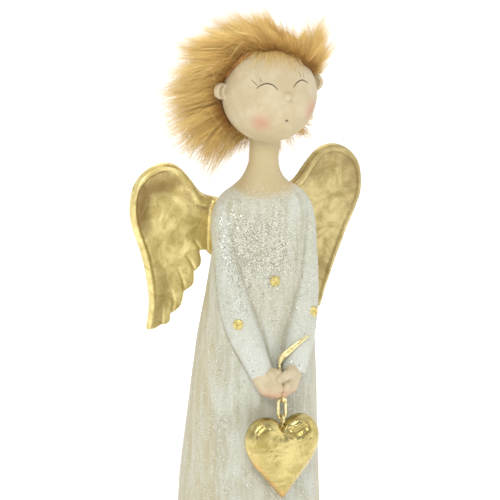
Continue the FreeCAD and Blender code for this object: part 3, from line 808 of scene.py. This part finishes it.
def wing(side, name, material, lift=(0.0, 0.0)):
    """A dished wing with a rolled rim, grooves between its feathers and a thick root."""
    leading = smooth_curve(WING_LEADING, 7)
    feathers = [smooth_curve(f, 5) for f in FEATHERS]
    trailing = np.vstack([f[:-1] for f in feathers])
    flat, triangles = sheet(np.vstack([leading[:-1], trailing, feathers[-1][-1:]]), 0.75, 0.45)
    to_lead, along = far_from(flat, leading)
    to_trail, _ = far_from(flat, trailing)
    edge = np.minimum(to_lead, to_trail)
    thin = np.minimum(edge / 1.7, 1.0)
    rounding = np.sqrt(np.clip(1.0 - (1.0 - thin) ** 2, 0.0, 1.0))
    rim_width = np.interp(along, (0.0, 0.1, 0.25, 0.4, 0.6, 0.85, 1.0), (7.0, 6.4, 5.2, 4.6, 3.4, 3.6, 3.0))
    across = np.clip(to_lead / rim_width, 0, 1)
    rim = np.sqrt(np.clip(1.0 - (2 * across - 1) ** 2, 0, 1)) * 1.7
    rim *= np.interp(along, (0.0, 0.08, 0.9, 1.0), (0.4, 1.0, 1.0, 0.5))
    dish = 1.3 * smoothstep(to_lead, rim_width * 0.8, rim_width + 9.0) * smoothstep(to_trail, 0.5, 12.0)
    parting = bell(across, 0.52, 0.08) * 0.5
    parting *= np.interp(along, (0.18, 0.24, 0.5, 0.6), (0.0, 1.0, 1.0, 0.0))
    cut = np.zeros(len(flat))
    for groove in WING_GROOVES:
        gap, place = far_from(flat, smooth_curve(groove, 6))
        cut = np.maximum(cut, bell(gap, 0, 0.55) * (1.0 - 0.8 * place))
    swirl, place = far_from(flat, smooth_curve(((56.0, 246.0), (57.4, 240.0), (60.6, 235.6)), 8))
    ridge = bell(swirl, 0, 0.5) * 0.35 * np.sin(math.pi * np.clip(place, 0, 1))
    spine = np.interp(flat[:, 1], *zip(*WING_SWEEP)) + WING_THICKNESS / 2
    places = np.column_stack([flat[:, 0], flat[:, 1], np.zeros(len(flat))])
    lumps = 0.16 * unevenness(places, 9.0, 2) + 0.06 * unevenness(places, 2.4, 3, 9.0)
    half = WING_THICKNESS / 2 * rounding
    solid = smoothstep(edge, 0.0, 1.5)
    front = spine - half - (rim - dish - parting - 0.9 * cut + ridge + lumps) * solid
    back = spine + half + (0.5 * rim - 0.5 * cut + 0.5 * lumps) * solid
    root = smoothstep(flat[:, 0], 21.0, 17.0) * smoothstep(flat[:, 1], 243.0, 238.0)
    front = front * (1 - root) + WING_ROOT_Y * root
    count = len(flat)
    across_x, up_z = side * (flat[:, 0] + lift[0]), flat[:, 1] + lift[1]
    verts = np.vstack([np.column_stack([across_x, front, up_z]), np.column_stack([across_x, back, up_z])])
    edges = {edge for a, b, c in triangles for edge in ((a, b), (b, c), (c, a))}
    faces = triangles + [(c + count, b + count, a + count) for a, b, c in triangles]
    faces += [(b, a, a + count, b + count) for a, b in sorted(edges) if (b, a) not in edges]
    faces = [f[::side] for f in faces]
    obj = piece(name + "_leaf", verts, faces, material, slot="gold_leaf", replaces=(name,))
    upper = np.interp(along, (0.0, 0.3, 0.6, 0.75, 1.0), (0.9, 0.7, 0.8, 0.25, 0.15))
    worn = smoothstep(to_lead, rim_width + 8.0, rim_width) * upper
    worn *= smoothstep(to_lead, rim_width - 2.4, rim_width)
    shoulder = smoothstep(flat[:, 0], 36.0, 20.0) * smoothstep(to_lead, 9.0, 3.0)
    worn = np.clip(worn + 0.9 * shoulder, 0, 1)
    layer(obj.data, "worn", np.concatenate([worn, worn * 0.6]))
    # Painted shade: the upper lobe of the right wing and the foot of each wing darker, kept off the rim and
    # weaker at the back.
    lobe = far_from(flat, ((46.0, 253.0), (56.0, 250.0), (60.4, 241.0), (60.0, 232.0)))[0]
    foot = far_from(flat, ((47.0, 172.0), (43.0, 196.0)))[0]
    lobe_share = 0.8 if side < 0 else 0.1
    shade = np.clip(lobe_share * bell(lobe, 0, 7.0) + 0.3 * bell(foot, 0, 8.0), 0, 1)
    shade *= smoothstep(to_lead, rim_width - 1.5, rim_width + 1.5)
    layer(obj.data, "shade", np.concatenate([shade, 0.4 * shade]))


# ---------------------------------------------------------------- heart and wire
HEART_OUTLINE = (
    (0.0, 127.4), (3.6, 131.6), (9.6, 133.8), (16.4, 131.6), (20.6, 125.0),
    (20.6, 116.6), (16.4, 107.6), (8.6, 97.8), (0.0, 87.2),
)
HEART_HALF_THICKNESS = 7.4


def puffed(ring, spacing=0.45, passes=2600):
    """The height of a skin blown up over a ring, from 0 at its edge to 1, on a grid of X and Z places."""
    low, high = ring.min(0) - 2 * spacing, ring.max(0) + 2 * spacing
    xs, zs = (np.arange(low[i], high[i], spacing) for i in (0, 1))
    grid = np.stack(np.meshgrid(xs, zs), -1)
    within = inside(grid.reshape(-1, 2), ring).reshape(grid.shape[:2])
    height = np.zeros(within.shape)
    for _ in range(passes):
        around = height[2:, 1:-1] + height[:-2, 1:-1] + height[1:-1, 2:] + height[1:-1, :-2]
        height[1:-1, 1:-1] = np.where(within[1:-1, 1:-1], 0.25 * (around + 1.0), 0.0)
    return xs, zs, height / height.max()


def sampled(xs, zs, values, points):
    """Values of a grid at places between its own."""
    fx, fz = (points[:, 0] - xs[0]) / (xs[1] - xs[0]), (points[:, 1] - zs[0]) / (zs[1] - zs[0])
    ix, iz = np.clip(fx.astype(int), 0, len(xs) - 2), np.clip(fz.astype(int), 0, len(zs) - 2)
    tx, tz = fx - ix, fz - iz
    low = values[iz, ix] * (1 - tx) + values[iz, ix + 1] * tx
    high = values[iz + 1, ix] * (1 - tx) + values[iz + 1, ix + 1] * tx
    return low * (1 - tz) + high * tz


def heart(material):
    """A puffed heart with a round edge, crinkled where the leaf gathers beside the valley."""
    right = smooth_curve(HEART_OUTLINE, 9)
    ring = np.vstack([right, right[-2:0:-1] * (-1, 1)])
    flat, triangles = sheet(ring, 0.5, 0.5)
    blown = np.clip(sampled(*puffed(ring), flat), 0, 1)
    edge = far_from(flat, np.vstack([ring, ring[:1]]))[0]
    rolled = np.clip(edge / 7.0, 0, 1)
    share = 0.72 * np.sqrt(1 - (1 - rolled) ** 2) + 0.28 * blown
    valley = far_from(flat, ((0.0, 128.0), (5.4, 124.6), (11.0, 127.4)))[0]
    dent = 1.7 * bell(valley, 0, 2.1)
    fold = far_from(flat, ((-8.0, 128.6), (-2.0, 126.4), (4.0, 122.4)))[0]
    dent -= 0.7 * bell(fold, 0, 1.5)
    seam = 0.3 * bell(edge, 3.4, 0.5)
    x, z = flat.T
    places = np.column_stack([x, np.zeros(len(flat)), z])
    crinkles = 0.4 * bell(x, 11.0, 7.0) * bell(z, 121.0, 5.0) * unevenness(places, (3.6, 4.0, 2.2), 3, 3.0)
    crinkles += 0.14 * unevenness(places, 8.0, 3, 8.0)
    crinkles += 0.3 * bell(x, -8.0, 6.0) * bell(z, 115.0, 6.0) * unevenness(places, 1.5, 3, 5.0)
    solid = smoothstep(edge, 0.2, 2.6)
    half = HEART_HALF_THICKNESS * share + (crinkles - dent - seam) * solid
    half = np.maximum(half, 0.25 * np.minimum(edge, 4.0))
    border = edge < 1e-3
    half[border] = 0.0
    within = np.flatnonzero(~border)
    other = np.arange(len(flat))
    other[within] = len(flat) + np.arange(len(within))
    faces = triangles + [tuple(int(i) for i in other[[c, b, a]]) for a, b, c in triangles]
    front = np.column_stack([x, HANG_Y - half, z])
    verts = np.vstack([front, np.column_stack([x, HANG_Y + half, z])[within]])
    facts = {"slot": "gold_leaf_heart", "body": HEART, "replaces": ("heart_pendant",)}
    obj = piece("heart_leaf", verts, faces, material, **facts)
    rub = smoothstep(np.abs(verts[:, 1] - HANG_Y), 6.0, 2.0) * smoothstep(verts[:, 2], 122.0, 100.0)
    layer(obj.data, "worn", rub)


EYE_R = 2.2
STEM_TOP = (0.0, -42.9, 161.0)
TAIL = (
    (1.3, -42.9, 164.4), (4.2, -43.9, 167.5), (9.3, -45.0, 171.7), (16.6, -45.2, 176.2),
)


def wire(material):
    """The gilded wire: its eye, the stem between the hands and the beaten tail over the left sleeve."""
    eye_z = LINK_PIVOT[2] + 0.35
    turn = np.linspace(0, 2 * math.pi, 41)
    eye = np.column_stack([0 * turn, HANG_Y + EYE_R * np.sin(turn), eye_z + EYE_R * np.cos(turn)])
    stem = np.linspace((0.0, HANG_Y, eye_z + EYE_R), STEM_TOP, 12)
    tail = smooth_curve((STEM_TOP,) + TAIL, 12)
    share = np.linspace(0, 1, len(tail))
    broad = np.interp(share, (0, 0.2, 0.35, 0.6, 0.85, 1.0), (0.85, 1.5, 1.75, 1.6, 1.0, 0.25))
    thick = np.interp(share, (0, 0.25, 0.85, 1.0), (0.85, 0.8, 0.6, 0.25))
    sides = 20
    verts, tail_faces = tube(tail, 1.0, sides)
    middle, thick, broad = (np.repeat(values, sides, axis=0) for values in (tail, thick, broad))
    forward = np.array([-0.1, -0.97, 0.22])
    deep = ((verts - middle) @ forward)[:, None] * forward
    verts = middle + deep * thick[:, None] + (verts - middle - deep) * broad[:, None]
    verts += 0.12 * unevenness(verts, 2.6)[:, None] * forward
    whole = joined(tube(eye, 0.7, 14), tube(stem, 0.85, 14), (verts, tail_faces))
    piece("wire_and_tail", *whole, material, slot="gold_wire", replaces=("hanger_wire",))


DAB_HEIGHT = 1.25
DAB_SINK = 1.0  # how far a dab's edge goes into the robe


def dab(node, material):
    """A thick, slightly ragged dot of paint on the place of a CAD disc."""
    verts, _ = cad_arrays(node)
    centre = verts.mean(0)
    spread = verts - centre
    out = np.linalg.svd(spread, full_matrices=False)[2][2]
    if out[1] > 0:
        out = -out
    low = (spread @ out).min()
    side = np.cross(out, [0, 0, 1.0])
    side /= np.linalg.norm(side)
    up = np.cross(side, out)
    radius = 1.08 * np.abs(spread @ side).max()
    rings, around = 9, 36
    verts = []
    for i in range(1, rings + 1):
        share = i / rings
        for c, s in circle(around):
            ragged = 1.0 + 0.05 * noise.noise(Vector((c * 1.3, s * 1.3, centre[0])))
            flat = centre + radius * share * ragged * (side * c + up * s)
            height = low + DAB_HEIGHT * math.sqrt(max(0.0, 1 - share**4)) - (DAB_SINK if i == rings else 0.0)
            height += 0.1 * noise.noise(Vector(flat * 0.9)) * (1 - share)
            verts.append(flat + out * height)
    verts += [centre + out * (low + DAB_HEIGHT), centre + out * (low - DAB_SINK)]
    middle, last = rings * around, (rings - 1) * around
    faces = [face[::-1] for face in ring_faces(rings, around)]
    for k in range(around):
        after = (k + 1) % around
        faces += [(k, after, middle), (last + after, last + k, middle + 1)]
    piece(node + "_dab", verts, faces, material, slot="gold_paint", replaces=(node,))


def felt(material):
    """The felt pad: soft at its rim and faintly uneven."""
    low, high = (np.array(corner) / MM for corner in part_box("felt_pad"))
    half, middle = (high - low) / 2, (high + low) / 2
    profile = ((0.9, 0.0), (0.985, 0.1), (1.0, 0.5), (0.985, 0.9), (0.9, 1.0))
    around, verts = 120, []
    for share, height in profile:
        for c, s in circle(around):
            reach = share * (1 - 0.006 * abs(noise.noise(Vector((9 * c, 9 * s, share)))))
            x, y = middle[0] + half[0] * reach * c, middle[1] + half[1] * reach * s
            verts.append((x, y, (high[2] - low[2]) * height))
    faces = capped(len(profile), around)
    piece("felt_base", verts, faces, material, slot="felt", replaces=("felt_pad",))


# ---------------------------------------------------------------- fur
BACK_POLE = np.array([0.0, 0.9135, 0.4067])  # the middle of the furred part of the head
# Latitude and longitude of the hairline, all round.
HAIRLINE = (
    (71.0, -8.0), (67.0, -45.0), (66.0, -69.0), (53.5, -88.0), (38.0, -86.0),
    (23.0, -96.0), (4.0, -102.0), (-15.0, -106.0), (-34.0, -116.0), (-46.0, -145.0),
    (-48.0, 180.0), (-46.0, 145.0), (-34.0, 116.0), (-15.0, 106.0), (4.0, 102.0),
    (22.0, 88.0), (33.0, 66.0), (41.0, 50.0), (57.0, 33.5), (67.0, 14.0),
)
COMB_RIGHT = np.array([0.927, -0.375, 0.0])  # the fur is combed in the plane of these two
COMB_UP = np.array([0.097, 0.24, 0.966])
# Round the head in that plane, in degrees from COMB_RIGHT: which way the fur is combed, and its length.
COMB = (
    (-36, 326, 17), (-12, 20, 6), (8, 62, 10), (20, 80, 17), (32, 94, 26), (44, 100, 29),
    (54, 112, 17), (64, 130, 14), (76, 142, 19), (92, 150, 25), (108, 160, 28), (128, 172, 31),
    (148, 181, 34), (168, 194, 36), (188, 208, 37), (208, 222, 37), (226, 238, 35), (243, 256, 33),
    (258, 270, 30), (276, 288, 24), (292, 302, 27), (306, 312, 27),
)
FUR_STEPS = 8
ROOT_TO_TIP = np.linspace(0, 1, FUR_STEPS)
HAIR_FALL = np.array([-0.15, -0.35, -0.8])  # the way that loose hairs hang in front of the right ear
# The fur stays out of this column round the neck.
NECK_Y = -22.0
NECK_R = 10.0


def comb(root_ways):
    """For each root, the way its fur is combed and how long it grows."""
    angle = np.degrees(np.arctan2(root_ways @ COMB_UP, root_ways @ COMB_RIGHT)) % 360
    turns = np.array(COMB, float)
    turns[:, 0] %= 360
    turns = turns[np.argsort(turns[:, 0])]
    lean = turns[:, 1] - turns[:, 0]
    lean = (lean + 180) % 360 - 180
    near = np.cross(COMB_RIGHT, COMB_UP)
    over_top = smoothstep(root_ways @ near, 0.0, 0.55) * smoothstep(np.abs(angle - 95), 60, 30)
    leaned = angle + np.interp(angle, turns[:, 0], lean, period=360) + 22 * over_top
    length = np.interp(angle, turns[:, 0], turns[:, 2], period=360)
    rad = np.radians(leaned)[:, None]
    return np.cos(rad) * COMB_RIGHT + np.sin(rad) * COMB_UP, length


def hairline_reach():
    """The hairline as angles round the back pole, in degrees, and how far from the pole it is at each."""
    side = np.array([1.0, 0.0, 0.0])
    up = np.cross(BACK_POLE, side)
    ways = np.array([on_head(lat, lon, 1.0) - HEAD for lat, lon in HAIRLINE])
    round_pole = np.degrees(np.arctan2(ways @ up, ways @ side)) % 360
    reach = np.degrees(np.arccos(ways @ BACK_POLE))
    order = np.argsort(round_pole)
    return side, up, round_pole[order], reach[order]


def fur_roots(count, edge=1.0, inner=0.0):
    """Places behind the hairline, as ways out from the middle of the head, or only those close to it."""
    side, up, round_pole, reach = hairline_reach()
    ways = random.normal(size=(count * (30 if inner else 4), 3))
    ways /= np.linalg.norm(ways, axis=1)[:, None]
    angle = np.degrees(np.arctan2(ways @ up, ways @ side)) % 360
    limit = np.interp(angle, round_pole, reach, period=360) * edge
    from_pole = np.degrees(np.arccos(np.clip(ways @ BACK_POLE, -1, 1)))
    ways = ways[(from_pole < limit) & (from_pole >= limit * inner)]
    for _, place in EARS:
        ways = ways[np.linalg.norm(ways * HEAD_R - place, axis=1) > 5.2]
    return ways[:count]


def grown(ways, comb_way, length, lift):
    """Paths that leave the head along its surface normal and bend over to the way they're combed."""
    out = ways[:, None, :]
    bend = np.clip(ROOT_TO_TIP[None, :, None] * 1.5 + 0.25, 0, 1)
    heading = (1 - bend) * out + bend * comb_way[:, None, :] + lift[:, None, None] * out
    heading /= np.linalg.norm(heading, axis=2)[:, :, None]
    steps = heading[:, :-1] * (length[:, None, None] / (FUR_STEPS - 1))
    start = HEAD + out * (HEAD_R + 0.2)
    return np.concatenate([start, start + np.cumsum(steps, axis=1)], axis=1)


def kept_out(path, clearance):
    """Paths pushed out of the head and the neck."""
    out = path - HEAD
    far = np.linalg.norm(out, axis=2)
    least = HEAD_R + clearance
    path = np.where((far < least)[:, :, None], HEAD + out * (least / np.maximum(far, 1.0))[:, :, None], path)
    gap = np.hypot(path[:, :, 0], path[:, :, 1] - NECK_Y)
    beside = (path[:, :, 2] < HEAD[2] - 18) & (gap < NECK_R)
    grow = np.where(beside, NECK_R / np.maximum(gap, 1.0), 1.0)
    path[:, :, 0] *= grow
    path[:, :, 1] = NECK_Y + (path[:, :, 1] - NECK_Y) * grow
    return path


def strand_mesh(name, path, radius, along, tint, material):
    """One mesh of closed three-sided strands."""
    count, steps = path.shape[:2]
    heading = np.gradient(path, axis=1)
    heading /= np.maximum(np.linalg.norm(heading, axis=2), 1e-6)[:, :, None]
    side = np.cross(heading, (0.31, 0.52, 0.79))
    side /= np.maximum(np.linalg.norm(side, axis=2), 1e-6)[:, :, None]
    other = np.cross(heading, side)
    rings = [path + radius[:, :, None] * (side * c + other * s) for c, s in circle(3)]
    verts = np.stack(rings, axis=2).reshape(-1, 3)
    base = (np.arange(count) * steps * 3)[:, None, None]
    ring = (np.arange(steps - 1) * 3)[None, :, None]
    k, after = np.arange(3)[None, None, :], (np.arange(3)[None, None, :] + 1) % 3
    quads = np.stack([base + ring + k, base + ring + after, base + ring + 3 + after, base + ring + 3 + k], -1)
    foot = np.stack([base[:, 0, 0] + 2, base[:, 0, 0] + 1, base[:, 0, 0]], -1)
    tip = np.stack([base[:, 0, 0] + (steps - 1) * 3 + i for i in range(3)], -1)
    loops = np.concatenate([quads.reshape(-1), foot.reshape(-1), tip.reshape(-1)]).astype(np.int32)
    sizes = np.concatenate([np.full(quads.size // 4, 4), np.full(2 * count, 3)])
    mesh = bpy.data.meshes.new(name)
    mesh.vertices.add(len(verts))
    mesh.vertices.foreach_set("co", (verts * MM).astype(np.float32).ravel())
    mesh.loops.add(len(loops))
    mesh.loops.foreach_set("vertex_index", loops)
    mesh.polygons.add(len(sizes))
    mesh.polygons.foreach_set("loop_start", np.concatenate([[0], np.cumsum(sizes)[:-1]]).astype(np.int32))
    mesh.update(calc_edges=True)
    layer(mesh, "along", np.repeat(along.reshape(-1), 3))
    layer(mesh, "tint", np.repeat(np.repeat(tint, steps), 3))
    return finish_piece(name, mesh, material, slot="fur")


def waver(count, size, shape):
    """Each strand's own random offset, which follows a shape from its root to its tip."""
    return random.normal(scale=size, size=(count, 1, 3)) * shape[None, :, None]


def tapered(count, thin, thick, places, shares):
    """Radii along each strand: its own size, tapered alike."""
    return random.uniform(thin, thick, count)[:, None] * np.interp(ROOT_TO_TIP, places, shares)


def fur(material, strands=34000, clumps=520, pieces=10):
    """Loose locks: strands that gather towards guides, with two scales of curl and a share of wild hairs."""
    clump_way = fur_roots(clumps)
    clump_comb, clump_length = comb(clump_way)
    swirl = np.array([[noise.noise(Vector(w * 2.6 + k)) for k in (3.0, 17.0, 41.0)] for w in clump_way])
    clump_comb += 0.75 * swirl + random.normal(scale=0.16, size=clump_comb.shape)
    clump_length = clump_length * random.uniform(0.7, 1.12, clumps)
    lift = random.uniform(0.05, 0.75, clumps)
    t = ROOT_TO_TIP
    curl = waver(clumps, 2.2, t**1.4 * np.sin(1.0 + 2.4 * t))
    droop = np.array([0.0, 0.0, -3.0]) * (t**2)[None, :, None]
    guide = kept_out(grown(clump_way, clump_comb, clump_length, lift) + curl + droop, 1.0)

    ways = fur_roots(strands)
    nearest = np.concatenate([np.argmax(part @ clump_way.T, axis=1) for part in np.array_split(ways, 12)])
    length = clump_length[nearest] * random.uniform(0.45, 1.06, strands)
    own = clump_comb[nearest] + random.normal(scale=0.22, size=(strands, 3))
    path = grown(ways, own, length, lift[nearest] + random.uniform(-0.2, 0.3, strands)) + 1.3 * droop
    gather = (0.84 * random.uniform(0.0, 1.0, strands) ** 0.8)[:, None] * t[None, :] ** 1.2
    share = length / clump_length[nearest]
    reach = np.clip(t[None, :] * share[:, None], 0, 1) * (FUR_STEPS - 1)
    low = np.minimum(reach.astype(int), FUR_STEPS - 2)
    part = (reach - low)[:, :, None]
    rows = np.arange(strands)[:, None]
    target = guide[nearest][rows, low] * (1 - part) + guide[nearest][rows, low + 1] * part
    path = path * (1 - gather[:, :, None]) + target * gather[:, :, None]
    wave = waver(strands, 0.9, np.sin(2.8 * t + 0.4) * t)
    wave += waver(strands, 0.5, np.sin(6.5 * t + 1.0) * t)
    wild = (random.uniform(size=strands) < 0.1) * 3.2
    wave += waver(strands, 1.0, t**1.6) * wild[:, None, None]
    path = kept_out(path + wave, 0.5)
    thick = tapered(strands, 0.055, 0.1, (0, 0.25, 0.7, 1), (0.8, 1.0, 0.66, 0.12))
    # Darker towards the root and on shorter strands: the fur's own red-brown roots, with painted shade deep
    # in the fur.
    shade = np.clip(length / 26.0, 0.6, 1.0)[:, None] * t[None, :] ** 0.85
    along = np.clip(shade + random.normal(scale=0.06, size=(strands, 1)), 0, 1)
    # Painted shade: the fur over the top of the head darker.
    over_top = (smoothstep(ways[:, 2], 0.45, 0.85) * smoothstep(ways[:, 0], 0.6, 0.3))[:, None]
    along *= 1.0 - 0.34 * over_top
    tint = 0.45 * random.uniform(0, 1, strands) ** 2 + 0.75 * (random.uniform(0, 1, clumps) ** 1.5)[nearest]
    for i, part in enumerate(np.array_split(np.argsort(nearest, kind="stable"), pieces)):
        name = f"fur_lock_{i + 1:02d}"
        obj = strand_mesh(name, path[part], thick[part], along[part], tint[part], material)
        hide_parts("fur_wig")


def under_fur(material, strands=7000):
    """Short dark fluff at the roots that covers the wig's backing, its darkness partly the fur's own roots
    and partly painted shade under the fur.
    """
    ways = fur_roots(strands, 1.02)
    comb_way, _ = comb(ways)
    length = random.uniform(3.5, 8.5, strands)
    path = grown(ways, comb_way + random.normal(scale=0.5, size=(strands, 3)), length, np.full(strands, 0.5))
    path = kept_out(path + waver(strands, 0.6, ROOT_TO_TIP**2), 0.3)
    thick = tapered(strands, 0.09, 0.14, (0, 0.5, 1), (1, 0.9, 0.25))
    along = 0.38 * ROOT_TO_TIP[None, :] * random.uniform(0.4, 1.0, (strands, 1))
    for i, part in enumerate(np.array_split(np.arange(strands), 2)):
        name = f"fur_roots_{i + 1}"
        strand_mesh(name, path[part], thick[part], along[part], random.uniform(0, 1, len(part)), material)


def hairline_curls(material, strands=2600):
    """Short dark curls that hide the edge of the wig's backing."""
    ways = fur_roots(strands, 1.015, 0.95)
    count = len(ways)
    comb_way, _ = comb(ways)
    mixed = 0.45 * comb_way + random.normal(scale=0.75, size=ways.shape)
    path = grown(ways, mixed, random.uniform(3.0, 6.5, count), random.uniform(0.0, 0.5, count))
    path = kept_out(path + waver(count, 0.9, np.sin(4.0 * ROOT_TO_TIP) * ROOT_TO_TIP), 0.3)
    thick = tapered(count, 0.07, 0.12, (0, 0.5, 1), (1, 0.9, 0.3))
    along = 0.13 * ROOT_TO_TIP[None, :] * random.uniform(0.3, 1.0, (count, 1))
    strand_mesh("fur_hairline", path, thick, along, random.uniform(0, 1, count), material)


def loose_hairs(material, strands=230):
    """Long single hairs that curve down round the right ear and out of the fur's outline."""
    ways = fur_roots(strands * 6, 1.0, 0.72)
    ways = ways[(ways[:, 0] < -0.35) | (ways[:, 2] > 0.6)][:strands]
    count = len(ways)
    comb_way, _ = comb(ways)
    falling = (random.uniform(size=count) < 0.5)[:, None] & (ways[:, 2:] < 0.6)
    heading = np.where(falling, HAIR_FALL, comb_way) + random.normal(scale=0.3, size=ways.shape)
    length = random.uniform(16, 34, count)
    path = grown(ways, heading, length, random.uniform(0.1, 0.6, count))
    path = kept_out(path + waver(count, 5.0, ROOT_TO_TIP**2), 0.6)
    thick = tapered(count, 0.05, 0.075, (0, 1), (1.0, 0.4))
    along = np.tile(0.35 + 0.6 * ROOT_TO_TIP, (count, 1))
    strand_mesh("fur_loose_hairs", path, thick, along, random.uniform(0, 0.5, count), material)


def stray_fur(material, strands=430):
    """Fine hairs that fall over the forehead and stand out round the face."""
    lon = random.uniform(-80, 42, strands)
    line = sorted((b, a) for a, b in HAIRLINE if -90 < b < 60)
    lat = np.interp(lon, [b for b, _ in line], [a for _, a in line])
    drop = random.uniform(6, 38, strands) * np.where(np.abs(lon + 8) < 38, 1.0, 0.5)
    drift = random.normal(scale=13.0, size=strands)
    path = np.zeros((strands, FUR_STEPS, 3))
    rise = random.uniform(0.4, 2.2, strands)
    for i in range(strands):
        for k, t in enumerate(ROOT_TO_TIP):
            high = HEAD_R + 0.25 + rise[i] * math.sin(math.pi * min(1.0, t * 1.1)) * (1 - 0.3 * t)
            path[i, k] = on_head(lat[i] + 2 - drop[i] * t, lon[i] + drift[i] * t**1.5, high)
    thick = tapered(strands, 0.035, 0.062, (0, 1), (1.0, 0.4))
    along = np.tile(0.3 + 0.6 * ROOT_TO_TIP, (strands, 1))
    strand_mesh("fur_strays", path, thick, along, random.uniform(0, 0.6, strands), material)


# ---------------------------------------------------------------- stage
FLOOR_HALF = 12.0  # metres


def stage():
    """A pale floor, wide enough that its edge stays far behind the figure."""
    floor = bpy.data.meshes.new("floor")
    corners = [(x * FLOOR_HALF, y * FLOOR_HALF, 0) for x, y in ((-1, -1), (1, -1), (1, 1), (-1, 1))]
    floor.from_pydata(corners, [], [(0, 1, 2, 3)])
    obj = bpy.data.objects.new("floor", floor)
    bpy.context.scene.collection.objects.link(obj)
    pale = bpy.data.materials.new("pale_floor")
    pale.use_nodes = True
    inputs = pale.node_tree.nodes["Principled BSDF"].inputs
    inputs["Base Color"].default_value = (0.93, 0.93, 0.93, 1)
    inputs["Roughness"].default_value = 0.9
    inputs["Emission Color"].default_value = (1, 1, 1, 1)
    inputs["Emission Strength"].default_value = 0.22
    floor.materials.append(pale)


def aim(obj, target):
    """Turns a light or camera to face a place."""
    obj.rotation_euler = (Vector(target) - obj.location).to_track_quat("-Z", "Y").to_euler()


def light(name, place, target, size, power):
    """A round soft light."""
    data = bpy.data.lights.new(name, "AREA")
    data.shape = "DISK"
    data.size = size
    data.energy = power
    obj = bpy.data.objects.new(name, data)
    obj.location = place
    bpy.context.scene.collection.objects.link(obj)
    aim(obj, target)


def lights():
    """A soft key light from the upper left, a white surround, and a darker room in front of the figure."""
    chest = (0, -0.02, 0.22)
    light("key", (-0.6, -1.15, 1.15), chest, 0.55, 15.0)
    light("fill", (1.2, -0.9, 0.6), chest, 1.0, 3.0)
    light("back", (0.25, 1.3, 1.5), (0, 0.5, 0.0), 1.0, 9.0)
    world = bpy.data.worlds.new("studio")
    world.use_nodes = True
    nodes, links = world.node_tree.nodes, world.node_tree.links
    way = nodes.new("ShaderNodeTexCoord").outputs["Generated"]
    facing = nodes.new("ShaderNodeVectorMath")
    facing.operation = "DOT_PRODUCT"
    links.new(way, facing.inputs[0])
    facing.inputs[1].default_value = (-0.34, -0.92, 0.18)
    fade = nodes.new("ShaderNodeMapRange")
    fade.interpolation_type = "SMOOTHSTEP"
    links.new(facing.outputs["Value"], fade.inputs["Value"])
    for name, number in zip(RANGE_ENDS, (0.0, 0.85, 1.05, 0.33)):
        fade.inputs[name].default_value = number
    links.new(fade.outputs["Result"], nodes["Background"].inputs["Strength"])
    nodes["Background"].inputs["Color"].default_value = (1, 1, 1, 1)
    bpy.context.scene.world = world


def camera():
    """The view from the figure's right front, a little above it, that crops the skirt below the heart."""
    azimuth, elevation = math.radians(-22.0), math.radians(15.0)
    distance, seen_width = 1.4, 0.265
    level = math.cos(elevation)
    back = Vector((math.sin(azimuth) * level, -math.cos(azimuth) * level, math.sin(elevation)))
    right = Vector((math.cos(azimuth), math.sin(azimuth), 0))
    up = back.cross(right)
    neckline = Vector((0, -0.0185, 0.25))
    target = neckline - right * 0.0064 - up * 0.0311
    data = bpy.data.cameras.new("camera")
    data.sensor_width = 36.0
    data.lens = data.sensor_width * distance / seen_width
    data.clip_end = 50.0
    obj = bpy.data.objects.new("camera", data)
    obj.location = target + back * distance
    bpy.context.scene.collection.objects.link(obj)
    aim(obj, target)
    bpy.context.scene.camera = obj


def dress(node, material):
    """A CAD node that keeps its shape and takes a better material."""
    mesh = frame["nodes"][node].data
    mesh.materials.clear()
    mesh.materials.append(material)


bpy.context.scene.view_settings.view_transform = "Standard"
camera()
lights()
stage()

skin = skin_paint()
wing_gold = gold_leaf("wing_leaf", RIGHT_WING_GOLD, 0.5, 0.38)
shaded_left_wing_gold = gold_leaf("left_wing_leaf", LEFT_WING_GOLD_SHADED, 0.3, 0.44)
heart_gold = gold_leaf("heart_leaf", HEART_GOLD, 0.05, 0.2)
wire_gold = gilding("gold_wire", WIRE_GOLD, 2.5, (0.08, 0.6), 0.8, 0.36)
dab_gold = gilding("gold_dab", DAB_GOLD, 1.2, (0.15, 0.9), 0.6, 0.48)
felt_cloth = mottled("felt_cloth", FELT, (0.6, 5.0, 0.8), (0.35, 4.0, 0.8), 0.3, 0.95)
raw_resin = mottled("plain_resin", RESIN, (12.0, 4.0), (2.0, 4.0), 0.1, 0.7)
wig_cloth = mottled("wig_cloth", WIG_CLOTH, (1.2, 4.0, 0.7), (0.5, 4.0), 0.25, 0.95)
line_paint = dark_paint("eye_line_paint", EYE_PAINT)
mouth_paint = dark_paint("mouth_paint", MOUTH_PAINT)
steel = drawn_steel()
fibre = fur_fibre()

robe(glitter_paint())
head(skin)
face(line_paint, mouth_paint)
hands(hand_paint())
wing(1, "left_wing", shaded_left_wing_gold, (2.3, 2.5))
wing(-1, "right_wing", wing_gold)
heart(heart_gold)
wire(wire_gold)
for node in ("chest_dot", "right_sleeve_dot", "left_sleeve_dot"):
    dab(node, dab_gold)
fur(fibre)
under_fur(fibre)
hairline_curls(fibre)
loose_hairs(fibre)
stray_fur(fibre)
felt(felt_cloth)
dress("hanging_link", wire_gold)
dress("heart_eyelet", wire_gold)
dress("bottom_plate", raw_resin)
for node in ("neck_dowel", "left_wing_pins", "right_wing_pins"):
    dress(node, steel)
dress("wig_cap", wig_cloth)
